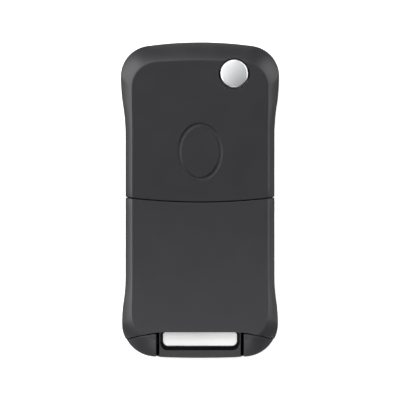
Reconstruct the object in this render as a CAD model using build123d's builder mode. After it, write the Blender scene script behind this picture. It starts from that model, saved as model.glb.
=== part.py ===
from build123d import *
import math
import os

# Flip key remote shell, folded. Sizes are in millimetres.
# The key lies on its front face, which is the plane z = 0. +X is the side that the blade folds into,
# +Y the end that it swings out of, and +Z goes up through the back. The origin is below the middle.

# Case outline, seen from the back
case_length = 78.6
case_thickness = 16.5
case_width = 39.36
waist_pinch = 1.18
foot_pinch = 0.29
crown_rise = 0.85
shoulder_radius = 7.6
neck_drop = 23.4
hip_rise = 20.3
heel_radius = 8.35
heel_rise = 0.25

# Flat panel on the back and on the front, and the rounded bevel around it
panel_side_margin = 2.83
panel_waist_pinch = 0.1
panel_top_margin = 4.7
panel_crown_rise = 0.4
panel_shoulder_radius = 8.0
panel_bottom_margin = 4.4
panel_heel_rise = 0.3
panel_heel_radius = 6.3
bevel_depth = 3.3
bevel_profile = [(0.0, 0.0), (0.5, 0.23), (0.85, 0.58), (1.0, 1.0)]
room_profile = [(0.0, 0.0), (0.6, 0.3), (1.0, 1.0)]

# Walls and joints of the mouldings
wall = 1.6
end_wall = 1.4
rib_width = 1.2
joint_gap = 0.25
split_middle = -0.46
split_sag = 1.15
ridge_low = 3.4
ridge_height = 1.4
ridge_reach = 0.5
ridge_cover = 0.3
foot_joint_rise = 6.5
foot_arc_rise = 0.73
foot_arc_sag = 2.36
lip_height = 1.2
lip_width = 0.8
lip_length = 7.0
upper_lip_drop = 16.5
cover_lip_share = 0.41
lip_gap = 0.1
seat_gap = 0.05

# Swinging blade and its carrier
pivot_inset = 11.18
pivot_drop = 7.9
carrier_height = 7.3
head_radius = 11.6
head_inset = 0.4
arm_length = 12.0
arm_cheek = 0.55
swing_gap = 0.3
face_gap = 0.2
blade_width = 9.0
blade_thickness = 3.0
blade_share = 0.7
blade_shift = 4.5
blade_root = 7.2
blade_tip = 4.5
blade_groove_width = 2.4
blade_groove_depth = 0.6
slot_gap = 0.5
trough_wall = 1.3
roll_pin_radius = 0.9
roll_pin_bore = 0.45
journal_radius = 5.5
journal_length = 2.1
journal_gap = 0.06
bearing_wall = 1.4

# Release button and its spring
button_radius = 3.58
button_bore_gap = 0.17
button_crown = 0.75
button_edge = 0.12
button_travel = 2.5
flange_radius = 4.2
flange_height = 1.3
lug_reach = 5.6
lug_width = 2.4
lug_gap = 0.15
shank_radius = 1.9
shank_length = 4.6
spring_radius = 3.3
spring_wire = 0.7
spring_turns = 3.5
anchor_thickness = 0.6
anchor_key = 3.0
anchor_key_depth = 0.8

# Eye for the key ring
eye_width = 18.4
eye_height = 3.4
eye_drop = 0.1
eye_top_radius = 0.75
eye_foot_radius = 1.25
eye_chamfer = 1.1
loop_half = 10.75
loop_height = 9.2
loop_rail = 0.75
loop_gap = 0.15
loop_tab_reach = 1.6
loop_tab_width = 2.6
loop_tab_height = 4.5
lobe_step = 0.15

# Keys on the front, with their rubber mat and light window
key_length = 15.0
key_corner_share = 0.38
key_rib = 1.8
key_top_margin = 1.4
key_foot_margin = 1.3
key_gap = 0.15
key_recess = 0.3
key_travel = 0.6
key_flange = 0.6
key_flange_thickness = 0.6
mat_thickness = 0.8
mat_margin = 1.2
mat_dome_radius = 2.0
mat_dome_rise = 0.5
lens_radius = 1.0
lens_x = -4.2
lens_drop = 5.0

# Screws and pegs that hold the mouldings together
tongue_width = 5.0
tongue_thickness = 1.6
tongue_reach = 7.0
tongue_margin = 7.0
tongue_shift = 5.5
screw_drop = 5.0
screw_radius = 0.75
screw_head_radius = 1.5
screw_head_height = 0.9
screw_depth = 3.6
screw_boss_radius = 1.9
peg_radius = 1.1
peg_height = 2.6
peg_boss_radius = 2.2
peg_margin = 5.25
peg_shift = 6.0
peg_top_drop = 8.8
peg_low_drop = 24.5

# Pocket for the transponder chip, and contacts for the cell
pocket_length = 12.4
pocket_width = 3.4
pocket_wall = 1.0
pocket_margin = 10.9
pocket_drop = 31.3
pocket_cover = 1.0
contact_sheet = 0.4
contact_width = 6.0
contact_height = 6.4
contact_foot = 2.2
ledge_height = 3.2
ledge_reach = 2.6
ledge_shares = [0.34, 0.69, 0.92]
leaf_length = 9.0
leaf_width = 5.0
leaf_bend = 0.9
leaf_margin = 12.5
leaf_share = 0.59
stake_radius = 0.6

# Seat for a badge on the back
badge_width = 11.2
badge_height = 14.4
badge_groove = 0.9
badge_depth = 0.35
badge_drop = 27.3

# Places worked out from the sizes above
half_length = case_length / 2
half_width = case_width / 2
waist_half = half_width - waist_pinch
parting = case_thickness / 2
blade_reach = blade_share * case_length
pivot_x = half_width - pivot_inset
pivot_y = half_length - pivot_drop
pivot = (pivot_x, pivot_y)
pivot_axis = Axis((pivot_x, pivot_y, 0), (0, 0, 1))
carrier_low = parting - carrier_height / 2
carrier_high = parting + carrier_height / 2
chamber_low = carrier_low - face_gap
chamber_high = carrier_high + face_gap
blade_low = parting - blade_thickness / 2
slot_low = blade_low - slot_gap
slot_high = case_thickness - slot_low
slot_inner = pivot_x + blade_shift - blade_width / 2 - swing_gap
slot_foot = pivot_y - blade_reach - swing_gap
arm_half = blade_width / 2 + arm_cheek
arm_inner = arm_half - blade_shift
arm_outer = arm_half + blade_shift
arm_sweep = math.hypot(arm_outer, arm_length)
split_radius = waist_half**2 / (2 * split_sag)
split_centre = split_middle + split_radius
foot_joint = foot_joint_rise - half_length
foot_radius = waist_half**2 / (2 * foot_arc_sag)
foot_centre = foot_joint + foot_arc_rise - foot_radius
eye_top = foot_joint - eye_drop
rail_top = eye_top + loop_rail
bay_foot = rail_top + loop_gap + end_wall
loop_low = parting - loop_height / 2
loop_high = parting + loop_height / 2
ceiling = case_thickness - wall
beyond = case_length
tongue_left_x = tongue_margin - waist_half
tongue_right_x = pivot_x - tongue_shift
key_foot = bay_foot + key_foot_margin
key_room = -screw_drop - screw_boss_radius - key_top_margin - key_foot
key_height = (key_room - 2 * key_rib) / 3
key_corner = key_corner_share * key_height
key_pitch = key_height + key_rib
ledge_points = [share * bay_foot for share in ledge_shares]

# Named places along the case's edge and along the panel's edge
case_edge = {
    "top": half_length,
    "crown_rise": crown_rise,
    "shoulder_radius": shoulder_radius,
    "shoulder_x": half_width,
    "neck_y": half_length - neck_drop,
    "waist_x": waist_half,
    "hip_y": hip_rise - half_length,
    "foot_x": half_width - foot_pinch,
    "heel_radius": heel_radius,
    "heel_rise": heel_rise,
    "bottom": -half_length,
}
panel_edge = {
    "top": half_length - panel_top_margin,
    "crown_rise": panel_crown_rise,
    "shoulder_radius": panel_shoulder_radius,
    "shoulder_x": half_width - panel_side_margin,
    "neck_y": half_length - neck_drop,
    "waist_x": half_width - panel_side_margin - panel_waist_pinch,
    "hip_y": hip_rise - half_length,
    "foot_x": half_width - panel_side_margin,
    "heel_radius": panel_heel_radius,
    "heel_rise": panel_heel_rise,
    "bottom": panel_bottom_margin - half_length,
}


def end_touch(x, y, radius, end):
    """Where the shallow arc across an end of the case runs into its corner's arc."""
    reach = abs(end - y)
    shallow = (x**2 + reach**2 - radius**2) / (2 * (reach - radius))
    centre = Vector(0, end - math.copysign(shallow, end - y))
    return centre + (Vector(x, y) - centre).normalized() * shallow


def outline(share=1.0, height=0.0, inset=0.0):
    """The plan of the case, from the panel's edge (share 0) out to the case's own edge (share 1)."""
    at = {name: panel_edge[name] + share * (case_edge[name] - panel_edge[name]) for name in case_edge}
    top = at["top"] - inset
    bottom = at["bottom"] + inset
    shoulder_curve = at["shoulder_radius"] - inset
    heel_curve = at["heel_radius"] - inset
    shoulder_y = top - at["crown_rise"] - shoulder_curve
    foot_y = bottom + at["heel_rise"] + heel_curve
    shoulder = (at["shoulder_x"] - inset, shoulder_y)
    neck = (at["waist_x"] - inset, at["neck_y"])
    hip = (at["waist_x"] - inset, at["hip_y"])
    foot = (at["foot_x"] - inset, foot_y)
    crown_end = end_touch(shoulder[0] - shoulder_curve, shoulder_y, shoulder_curve, top)
    heel_end = end_touch(foot[0] - heel_curve, foot_y, heel_curve, bottom)
    neck_bend = ((shoulder[0] + neck[0]) / 2, (shoulder[1] + neck[1]) / 2)
    hip_bend = ((hip[0] + foot[0]) / 2, (hip[1] + foot[1]) / 2)
    with BuildSketch(Plane.XY.offset(height)) as plan:
        with BuildLine():
            TangentArc((0, top), crown_end, tangent=(1, 0))
            TangentArc(shoulder, crown_end, tangent=(0, 1))
            TangentArc(shoulder, neck_bend, tangent=(0, -1))
            TangentArc(neck, neck_bend, tangent=(0, 1))
            Line(neck, hip)
            TangentArc(hip, hip_bend, tangent=(0, -1))
            TangentArc(foot, hip_bend, tangent=(0, 1))
            TangentArc(foot, heel_end, tangent=(0, -1))
            TangentArc((0, bottom), heel_end, tangent=(1, 0))
            mirror(about=Plane.YZ)
        make_face()
    return plan.sketch


def case_form(inset, profile):
    """The whole case as one solid, drawn in by the inset on every side."""
    low = bevel_depth + inset
    high = case_thickness - low
    top = case_thickness - inset
    rim = [outline(share, top - bevel_depth * drop, inset) for share, drop in profile]
    with BuildPart() as form:
        loft(rim, ruled=True)
        mirror(about=Plane.XY.offset(parting))
        extrude(outline(1.0, low, inset), amount=high - low)
    return form.part


def prism(plan, low, high):
    """A plan drawn straight up from one height to another."""
    with BuildPart() as block:
        with BuildSketch(Plane.XY.offset(low)):
            add(plan)
        extrude(amount=high - low)
    return block.part


def disc_plan(x, y, radius):
    """A round plan."""
    with BuildSketch() as plan:
        with Locations((x, y)):
            Circle(radius)
    return plan.sketch


def box_plan(x_low, x_high, y_low, y_high):
    """A rectangular plan between two corners."""
    with BuildSketch() as plan:
        with Locations((x_low, y_low)):
            Rectangle(x_high - x_low, y_high - y_low, align=(Align.MIN, Align.MIN))
    return plan.sketch


def key_plan(x, y, margin=0.0):
    """The rounded plan of a front key, grown by the margin."""
    with BuildSketch() as plan:
        with Locations((x, y)):
            RectangleRounded(key_length + 2 * margin, key_height + 2 * margin, key_corner + margin)
    return plan.sketch


def head_plan():
    """What stays inside the case's edge both folded and turned half round, with the blade's arm."""
    edge = outline(1.0, 0.0, head_inset)
    with BuildSketch() as plan:
        add(edge)
        add(edge.rotate(pivot_axis, 180), mode=Mode.INTERSECT)
        with Locations(pivot):
            Circle(head_radius, mode=Mode.INTERSECT)
        with Locations((pivot_x + blade_shift, pivot_y - arm_length)):
            Rectangle(2 * arm_half, arm_length, align=(Align.CENTER, Align.MIN))
    return plan.sketch


def chamber_plan():
    """The room that the carrier turns in: a disc for the head and the arm's half turn."""
    side = 2 * arm_sweep
    with BuildSketch() as plan:
        with Locations(pivot):
            Rectangle(side, side, align=(Align.MIN, Align.MIN))
            Rectangle(arm_outer + swing_gap, side, align=(Align.MAX, Align.MIN))
            Rectangle(side, arm_length + swing_gap, align=(Align.MIN, Align.MAX))
            Rectangle(arm_inner + swing_gap, arm_length + swing_gap, align=(Align.MAX, Align.MAX))
            Circle(arm_sweep + swing_gap, mode=Mode.INTERSECT)
            Circle(head_radius + swing_gap)
    return plan.sketch


def chamber_wall_plan():
    """The curved wall inside the case that closes the chamber off."""
    with BuildSketch() as plan:
        with Locations(pivot):
            Circle(head_radius + swing_gap + rib_width)
            Rectangle(beyond, beyond, align=(Align.MIN, Align.CENTER), mode=Mode.SUBTRACT)
        add(chamber_plan(), mode=Mode.SUBTRACT)
    return plan.sketch


def spoke_plan(inner, outer):
    """Ribs from the bearing ring out to the chamber's wall, for the carrier to slide on."""
    with BuildSketch() as plan:
        with Locations(pivot):
            with PolarLocations(0, 8, start_angle=22.5):
                with Locations(((inner + outer) / 2, 0)):
                    Rectangle(outer - inner, rib_width)
    return plan.sketch


def lip_plan(inset, y):
    """A stretch of the thin lip that stands inside the left wall."""
    with BuildSketch() as plan:
        add(outline(1.0, 0.0, inset))
        add(outline(1.0, 0.0, wall + lip_gap + lip_width), mode=Mode.SUBTRACT)
        add(box_plan(-beyond, 0, y - lip_length / 2, y + lip_length / 2), mode=Mode.INTERSECT)
    return plan.sketch


def ridge_plan(clearance=0.0):
    """The ridge along the split, which stands in a groove of the upper section and shuts out dust and light."""
    ridge_radius = split_radius - joint_gap / 2 - ridge_reach - clearance
    with BuildSketch() as plan:
        add(outline(1.0, 0.0, ridge_cover - clearance))
        add(disc_plan(0, split_centre, split_radius + end_wall / 2), mode=Mode.INTERSECT)
        add(disc_plan(0, split_centre, ridge_radius), mode=Mode.SUBTRACT)
    return plan.sketch


def across_plan(x_half, y_low, y_high):
    """A rectangular plan centred on the case's middle line."""
    return box_plan(-x_half, x_half, y_low, y_high)


def foot_plan(grow):
    """Below the curved joint at the foot, but not over the eye, where the cover ends straight."""
    with BuildSketch() as plan:
        add(disc_plan(0, foot_centre, foot_radius + grow))
        add(across_plan(loop_half + loop_gap, foot_joint, half_length), mode=Mode.SUBTRACT)
    return plan.sketch


def foot_wall_plan():
    """What the lower room leaves solid at its foot: the wall along the joint and over the loop's rail."""
    with BuildSketch() as plan:
        add(disc_plan(0, foot_centre, foot_radius + end_wall))
        add(across_plan(loop_half + loop_gap + end_wall, -half_length, rail_top + loop_gap + end_wall))
    return plan.sketch


def eye_plan(height, grow=0.0):
    """The eye's rounded slot. Grown, it widens to its sides and downwards, and keeps its upper edge."""
    width = eye_width + 2 * grow
    depth = eye_height + grow
    with BuildSketch(Plane.XY.offset(height)) as plan:
        with Locations((0, eye_top)):
            Rectangle(width, depth, align=(Align.CENTER, Align.MAX))
        corners = plan.vertices().group_by(Axis.Y)
        fillet(corners[0], eye_foot_radius + grow)
        fillet(plan.vertices().group_by(Axis.Y)[-1], eye_top_radius)
    return plan.sketch


def tongue_plan(clearance=0.0):
    """The two fingers that reach from the upper section into the lower one."""
    start = split_middle + end_wall
    with BuildSketch() as plan:
        with Locations((tongue_left_x, start), (tongue_right_x, start)):
            Rectangle(
                tongue_width + 2 * clearance,
                tongue_reach + start + 2 * clearance,
                align=(Align.CENTER, Align.MAX),
            )
    return plan.sketch


def round_plan(places, radius):
    """Round plans of one radius at several places."""
    with BuildSketch() as plan:
        with Locations(*places):
            Circle(radius)
    return plan.sketch


# Places of the small pieces
screw_places = [(tongue_left_x, -screw_drop), (tongue_right_x, -screw_drop)]
peg_points = [
    (peg_margin - waist_half, half_length - peg_top_drop),
    (peg_margin - waist_half, half_length - peg_low_drop),
    (pivot_x - peg_shift, half_length - peg_low_drop),
]
key_names = ["lock_key", "unlock_key", "boot_key"]
key_points = [(0, key_foot + key_height / 2 + key_pitch * step) for step in (2, 1, 0)]
pocket_point = (pocket_margin - waist_half, half_length - pocket_drop)
badge_point = (0, half_length - badge_drop)
lens_point = (lens_x, -lens_drop)
tongue_low = parting - tongue_thickness
tongue_high = parting + tongue_thickness
boss_top = tongue_low - seat_gap
ledge_top = wall + ledge_height
pocket_top = parting - face_gap
flange_low = wall + seat_gap
mat_low = flange_low + key_flange_thickness + seat_gap
mat_high = mat_low + mat_thickness
bearing_outer = journal_radius + journal_gap + bearing_wall
room_outer = head_radius + swing_gap

# Solids that several mouldings are cut from or with
outer_form = case_form(0.0, bevel_profile)
cavity_form = case_form(wall, room_profile)
core_form = case_form(wall / 2, room_profile)
upper_side = prism(disc_plan(0, split_centre, split_radius - joint_gap / 2), 0, case_thickness)
upper_room = prism(disc_plan(0, split_centre, split_radius - joint_gap / 2 - end_wall), 0, case_thickness)
lower_edge = prism(disc_plan(0, split_centre, split_radius + joint_gap / 2), 0, case_thickness)
lower_wall = prism(disc_plan(0, split_centre, split_radius + joint_gap / 2 + end_wall), 0, case_thickness)
foot_wall = prism(foot_wall_plan(), 0, case_thickness)
blade_slot = prism(box_plan(slot_inner, beyond, slot_foot, pivot_y - arm_length), slot_low, slot_high)
chamber = prism(chamber_plan(), chamber_low, chamber_high)
trough_plan = box_plan(
    slot_inner - trough_wall, beyond, slot_foot - trough_wall, pivot_y - arm_length - swing_gap
)
eye_notch = prism(across_plan(loop_half + loop_gap, -beyond, foot_joint), -wall, case_thickness + wall)
loop_seat = prism(
    across_plan(loop_half + loop_gap, -beyond, rail_top + loop_gap), loop_low - loop_gap, loop_high + loop_gap
)
tab_middle = eye_top - eye_height / 2
tab_seat = prism(
    across_plan(
        loop_half + loop_tab_reach + loop_gap,
        tab_middle - loop_tab_width / 2 - seat_gap,
        tab_middle + loop_tab_width / 2 + seat_gap,
    ),
    parting - loop_tab_height / 2 - seat_gap,
    parting + loop_tab_height / 2 + seat_gap,
)
tongue_window = prism(tongue_plan(face_gap), tongue_low - face_gap, tongue_high + face_gap)


def inner_piece(plan, low, high):
    """A rib, boss or shelf inside the case, ended in the middle of the outer wall."""
    with BuildPart() as piece:
        add(prism(plan, low, high))
        add(core_form, mode=Mode.INTERSECT)
    return piece.part


def upper_half(keep):
    """The upper section above or below the parting plane, open inside."""
    with BuildPart() as room:
        add(cavity_form)
        add(upper_room, mode=Mode.INTERSECT)
    with BuildPart() as half:
        add(outer_form)
        add(room.part, mode=Mode.SUBTRACT)
        add(upper_side, mode=Mode.INTERSECT)
        split(bisect_by=Plane.XY.offset(parting), keep=keep)
    return half.part


def lower_half(keep):
    """The lower section above or below the parting plane, open inside and solid at its foot."""
    with BuildPart() as room:
        add(cavity_form)
        add(lower_wall, mode=Mode.SUBTRACT)
        add(foot_wall, mode=Mode.SUBTRACT)
    with BuildPart() as half:
        add(outer_form)
        add(room.part, mode=Mode.SUBTRACT)
        add(lower_edge, mode=Mode.SUBTRACT)
        split(bisect_by=Plane.XY.offset(parting), keep=keep)
    return half.part


def lip(y):
    """A lip that hangs below the parting plane inside the left wall, with its root in the wall above."""
    with BuildPart() as piece:
        add(prism(lip_plan(wall + lip_gap, y), parting - lip_height, parting))
        add(prism(lip_plan(wall / 2, y), parting, parting + lip_height))
    return piece.part


os.makedirs("parts", exist_ok=True)

# The blade's trough, with its inner wall and its floor, for each half of each section
trough_low = inner_piece(trough_plan, slot_low - trough_wall, parting)
trough_high = inner_piece(trough_plan, parting, slot_high + trough_wall)
spokes = spoke_plan(bearing_outer - bearing_wall / 2, room_outer + rib_width / 2)

# Front half of the upper section: it carries the pivot's bearing and the spring's anchor
upper_trough_low = trough_low & upper_side
pocket_box = (pocket_length + 2 * pocket_wall, pocket_width + 2 * pocket_wall)
with BuildPart() as upper_front_shell:
    add(upper_half(Keep.BOTTOM))
    add(inner_piece(chamber_wall_plan(), wall / 2, parting))
    add(inner_piece(disc_plan(*pivot, bearing_outer), wall / 2, chamber_low))
    add(inner_piece(spokes, wall / 2, chamber_low))
    add(upper_trough_low)
    add(prism(round_plan(peg_points, peg_boss_radius), wall / 2, parting))
    with BuildSketch(Plane.XY.offset(wall / 2)):
        with Locations(pocket_point):
            Rectangle(*pocket_box)
    extrude(amount=pocket_top - wall / 2)
    with BuildSketch(Plane.XY.offset(wall)):
        with Locations(pocket_point):
            Rectangle(pocket_length, pocket_width)
    extrude(amount=pocket_top, mode=Mode.SUBTRACT)
    add(prism(tongue_plan(), tongue_low, parting))
    add(prism(round_plan(screw_places, screw_radius + seat_gap), 0, parting), mode=Mode.SUBTRACT)
    add(chamber, mode=Mode.SUBTRACT)
    add(blade_slot, mode=Mode.SUBTRACT)
    add(prism(disc_plan(*pivot, journal_radius + journal_gap), wall, parting), mode=Mode.SUBTRACT)
    add(
        prism(ridge_plan(seat_gap), ridge_low - seat_gap, ridge_low + ridge_height + seat_gap),
        mode=Mode.SUBTRACT,
    )
    with BuildSketch(Plane.XY.offset(wall - anchor_key_depth)):
        with Locations(pivot):
            Rectangle(anchor_key + 2 * seat_gap, anchor_key + 2 * seat_gap)
    extrude(amount=anchor_key_depth, mode=Mode.SUBTRACT)
    add(prism(round_plan(peg_points, peg_radius), parting, parting + peg_height))
upper_front_shell.part.label = "upper_front_shell"
export_step(upper_front_shell.part, "parts/upper_front_shell.step")

# Back half of the upper section: the release button's bore, its lock notches and the badge's seat
upper_trough_high = trough_high & upper_side
with BuildPart() as upper_back_shell:
    add(upper_half(Keep.TOP))
    add(inner_piece(chamber_wall_plan(), parting, case_thickness))
    add(inner_piece(disc_plan(*pivot, bearing_outer), chamber_high, case_thickness))
    add(inner_piece(spokes, chamber_high, case_thickness))
    add(upper_trough_high)
    add(lip(half_length - upper_lip_drop))
    add(inner_piece(round_plan(peg_points, peg_boss_radius), parting, case_thickness))
    add(prism(tongue_plan(), parting, tongue_high))
    add(prism(round_plan(screw_places, screw_radius + seat_gap), parting, case_thickness), mode=Mode.SUBTRACT)
    add(chamber, mode=Mode.SUBTRACT)
    add(blade_slot, mode=Mode.SUBTRACT)
    add(
        prism(round_plan(peg_points, peg_radius + seat_gap), 0, parting + peg_height + face_gap),
        mode=Mode.SUBTRACT,
    )
    add(
        prism(disc_plan(*pivot, button_radius + button_bore_gap), chamber_high, case_thickness + wall),
        mode=Mode.SUBTRACT,
    )
    with BuildSketch(Plane.XY.offset(chamber_high)):
        with Locations(pivot):
            Rectangle(2 * (lug_reach + lug_gap), lug_width + 2 * lug_gap)
            Circle(lug_reach + lug_gap, mode=Mode.INTERSECT)
    extrude(amount=flange_height + face_gap, mode=Mode.SUBTRACT)
    with BuildSketch(Plane.XY.offset(case_thickness - badge_depth)):
        with Locations(badge_point):
            Ellipse(badge_width / 2, badge_height / 2)
            Ellipse(badge_width / 2 - badge_groove, badge_height / 2 - badge_groove, mode=Mode.SUBTRACT)
    extrude(amount=badge_depth, mode=Mode.SUBTRACT)
upper_back_shell.part.label = "upper_back_shell"
export_step(upper_back_shell.part, "parts/upper_back_shell.step")

# Front half of the lower section: keys, bay for the board, screw bosses and the lobes beside the eye
foot_side = prism(disc_plan(0, foot_centre, foot_radius - joint_gap), parting, case_thickness)
with BuildPart() as lobes:
    add(case_form(lobe_step, bevel_profile))
    add(foot_side, mode=Mode.INTERSECT)
    add(prism(across_plan(loop_half + loop_gap, -beyond, 0), 0, case_thickness), mode=Mode.SUBTRACT)
lower_trough_low = trough_low - lower_edge
with BuildPart() as lower_front_shell:
    add(lower_half(Keep.BOTTOM))
    add(lobes.part)
    add(prism(ridge_plan(), ridge_low, ridge_low + ridge_height))
    add(lower_trough_low)
    add(prism(round_plan(screw_places, screw_boss_radius), wall / 2, boss_top))
    for y in ledge_points:
        add(inner_piece(
            box_plan(-beyond, wall + ledge_reach - waist_half, y - rib_width, y + rib_width),
            wall / 2,
            ledge_top,
        ))
    add(prism(round_plan(screw_places, screw_radius + seat_gap), wall, boss_top), mode=Mode.SUBTRACT)
    add(eye_notch, mode=Mode.SUBTRACT)
    add(loop_seat, mode=Mode.SUBTRACT)
    add(tab_seat, mode=Mode.SUBTRACT)
    add(blade_slot, mode=Mode.SUBTRACT)
    add(tongue_window, mode=Mode.SUBTRACT)
    for x, y in key_points:
        add(prism(key_plan(x, y, key_gap), -wall, wall), mode=Mode.SUBTRACT)
    add(prism(disc_plan(*lens_point, lens_radius + seat_gap), -wall, wall), mode=Mode.SUBTRACT)
lower_front_shell.part.label = "lower_front_shell"
export_step(lower_front_shell.part, "parts/lower_front_shell.step")

# Back cover of the lower section, which snaps off to open the bay
lower_trough_high = trough_high - lower_edge
foot_cut = prism(foot_plan(0.0), 0, case_thickness)
leaf_z = ceiling - seat_gap
leaf_x = leaf_margin - waist_half
leaf_y = leaf_share * bay_foot
leaf_stakes = [(leaf_x - leaf_length / 4, leaf_y), (leaf_x + leaf_length / 4, leaf_y)]
with BuildPart() as lower_back_cover:
    add(lower_half(Keep.TOP))
    add(foot_cut, mode=Mode.SUBTRACT)
    add(lower_trough_high)
    add(lip(cover_lip_share * bay_foot))
    add(prism(round_plan(leaf_stakes, stake_radius), ceiling - 2 * contact_sheet, case_thickness - wall / 2))
    add(loop_seat, mode=Mode.SUBTRACT)
    add(blade_slot, mode=Mode.SUBTRACT)
    add(tongue_window, mode=Mode.SUBTRACT)
lower_back_cover.part.label = "lower_back_cover"
export_step(lower_back_cover.part, "parts/lower_back_cover.step")

# Insert round the key ring's eye, held between the lobes by its two tabs
with BuildPart() as keyring_loop:
    with BuildSketch(Plane.XY.offset(loop_low)):
        add(outline(1.0, 0.0, seat_gap))
        add(across_plan(loop_half, -beyond, rail_top), mode=Mode.INTERSECT)
    extrude(amount=loop_height)
    add(prism(
        across_plan(
            loop_half + loop_tab_reach, tab_middle - loop_tab_width / 2, tab_middle + loop_tab_width / 2
        ),
        parting - loop_tab_height / 2,
        parting + loop_tab_height / 2,
    ))
    add(prism(eye_plan(0), loop_low, loop_high), mode=Mode.SUBTRACT)
    for face, away in ((loop_high, 1), (loop_low, -1)):
        loft(
            [eye_plan(face - away * eye_chamfer), eye_plan(face + away * seat_gap, eye_chamfer + seat_gap)],
            mode=Mode.SUBTRACT,
        )
keyring_loop.part.label = "keyring_loop"
export_step(keyring_loop.part, "parts/keyring_loop.step")

# Carrier that the blade is held in, turning on its journal in the front shell
pin_point = (pivot_x + blade_shift, pivot_y - arm_length + blade_root / 2)
root_clear = seat_gap / 2
with BuildPart() as blade_carrier:
    add(prism(head_plan(), carrier_low, carrier_high))
    add(prism(disc_plan(*pivot, journal_radius), carrier_low - journal_length, carrier_low))
    add(
        prism(disc_plan(*pivot, flange_radius + face_gap), carrier_low - journal_length, carrier_high),
        mode=Mode.SUBTRACT,
    )
    with BuildSketch(Plane.XY.offset(carrier_high - flange_height - button_travel - face_gap)):
        with Locations(pivot):
            Rectangle(2 * (lug_reach + lug_gap), lug_width + 2 * lug_gap)
            Circle(lug_reach + lug_gap, mode=Mode.INTERSECT)
    extrude(amount=carrier_height, mode=Mode.SUBTRACT)
    with BuildSketch(Plane.XY.offset(blade_low - root_clear)):
        with Locations((pivot_x + blade_shift, pivot_y - arm_length)):
            Rectangle(
                blade_width + 2 * root_clear,
                blade_root + root_clear,
                align=(Align.CENTER, Align.MIN),
            )
    extrude(amount=blade_thickness + 2 * root_clear, mode=Mode.SUBTRACT)
    add(prism(disc_plan(*pin_point, roll_pin_radius + root_clear), 0, case_thickness), mode=Mode.SUBTRACT)
blade_carrier.part.label = "blade_carrier"
export_step(blade_carrier.part, "parts/blade_carrier.step")

# Uncut key blade: a flat bar with a groove along each face and a bevelled tip
blade_x = pivot_x + blade_shift
blade_top_y = pivot_y - arm_length + blade_root
blade_tip_y = pivot_y - blade_reach
with BuildPart() as key_blade:
    with BuildSketch(Plane.XY.offset(blade_low)):
        with BuildLine():
            Polyline(
                (blade_x - blade_width / 2, blade_top_y),
                (blade_x + blade_width / 2, blade_top_y),
                (blade_x + blade_width / 2, blade_tip_y + blade_tip),
                (blade_x + blade_width / 6, blade_tip_y),
                (blade_x - blade_width / 6, blade_tip_y),
                (blade_x - blade_width / 2, blade_tip_y + blade_tip),
                close=True,
            )
        make_face()
    extrude(amount=blade_thickness)
    chamfer(key_blade.edges().group_by(Axis.Y)[0], blade_thickness / 4)
    with Locations(
        Plane((blade_x, blade_tip_y, blade_low + blade_thickness)), Plane((blade_x, blade_tip_y, blade_low))
    ):
        Box(
            blade_groove_width,
            2 * (blade_reach - arm_length - blade_tip / 2),
            2 * blade_groove_depth,
            mode=Mode.SUBTRACT,
        )
    add(prism(disc_plan(*pin_point, roll_pin_radius + root_clear), 0, case_thickness), mode=Mode.SUBTRACT)
key_blade.part.label = "key_blade"
export_step(key_blade.part, "parts/key_blade.step")

# Slit roll pin through the carrier's arm and the blade's root
with BuildPart() as blade_roll_pin:
    with BuildSketch(Plane.XY.offset(carrier_low)):
        with Locations(pin_point):
            Circle(roll_pin_radius)
            Circle(roll_pin_bore, mode=Mode.SUBTRACT)
            Rectangle(roll_pin_radius, roll_pin_bore / 2, align=(Align.MIN, Align.CENTER), mode=Mode.SUBTRACT)
    extrude(amount=carrier_height)
blade_roll_pin.part.label = "blade_roll_pin"
export_step(blade_roll_pin.part, "parts/blade_roll_pin.step")

# Release button: a domed cap, a flange with two lugs keyed in the carrier, and a shank inside the spring
flange_low_z = carrier_high - flange_height
edge_z = case_thickness + button_edge
crown_radius = (button_radius**2 + button_crown**2) / (2 * button_crown)
with BuildPart() as release_button:
    with BuildSketch(Plane.XZ.offset(-pivot_y)):
        with BuildLine():
            Polyline(
                (pivot_x, edge_z + button_crown),
                (pivot_x, flange_low_z - shank_length),
                (pivot_x + shank_radius, flange_low_z - shank_length),
                (pivot_x + shank_radius, flange_low_z),
                (pivot_x + flange_radius, flange_low_z),
                (pivot_x + flange_radius, carrier_high),
                (pivot_x + button_radius, carrier_high),
                (pivot_x + button_radius, edge_z),
            )
            RadiusArc((pivot_x + button_radius, edge_z), (pivot_x, edge_z + button_crown), -crown_radius)
        make_face()
    revolve(axis=pivot_axis)
    with BuildSketch(Plane.XY.offset(flange_low_z)):
        with Locations(pivot):
            Rectangle(2 * lug_reach, lug_width)
            Circle(lug_reach, mode=Mode.INTERSECT)
    extrude(amount=flange_height)
release_button.part.label = "release_button"
export_step(release_button.part, "parts/release_button.step")

# Anchor plate keyed into the front shell under the spring
with BuildPart() as spring_anchor:
    with BuildSketch(Plane.XY.offset(wall)):
        with Locations(pivot):
            Circle(journal_radius - seat_gap)
    extrude(amount=anchor_thickness)
    with BuildSketch(Plane.XY.offset(wall - anchor_key_depth + seat_gap)):
        with Locations(pivot):
            Rectangle(anchor_key, anchor_key)
    extrude(amount=anchor_key_depth - seat_gap)
    with BuildSketch(Plane.XY.offset(wall + anchor_thickness)):
        with Locations(pivot):
            Circle(shank_radius)
    extrude(amount=anchor_thickness)
spring_anchor.part.label = "spring_anchor"
export_step(spring_anchor.part, "parts/spring_anchor.step")

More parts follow.
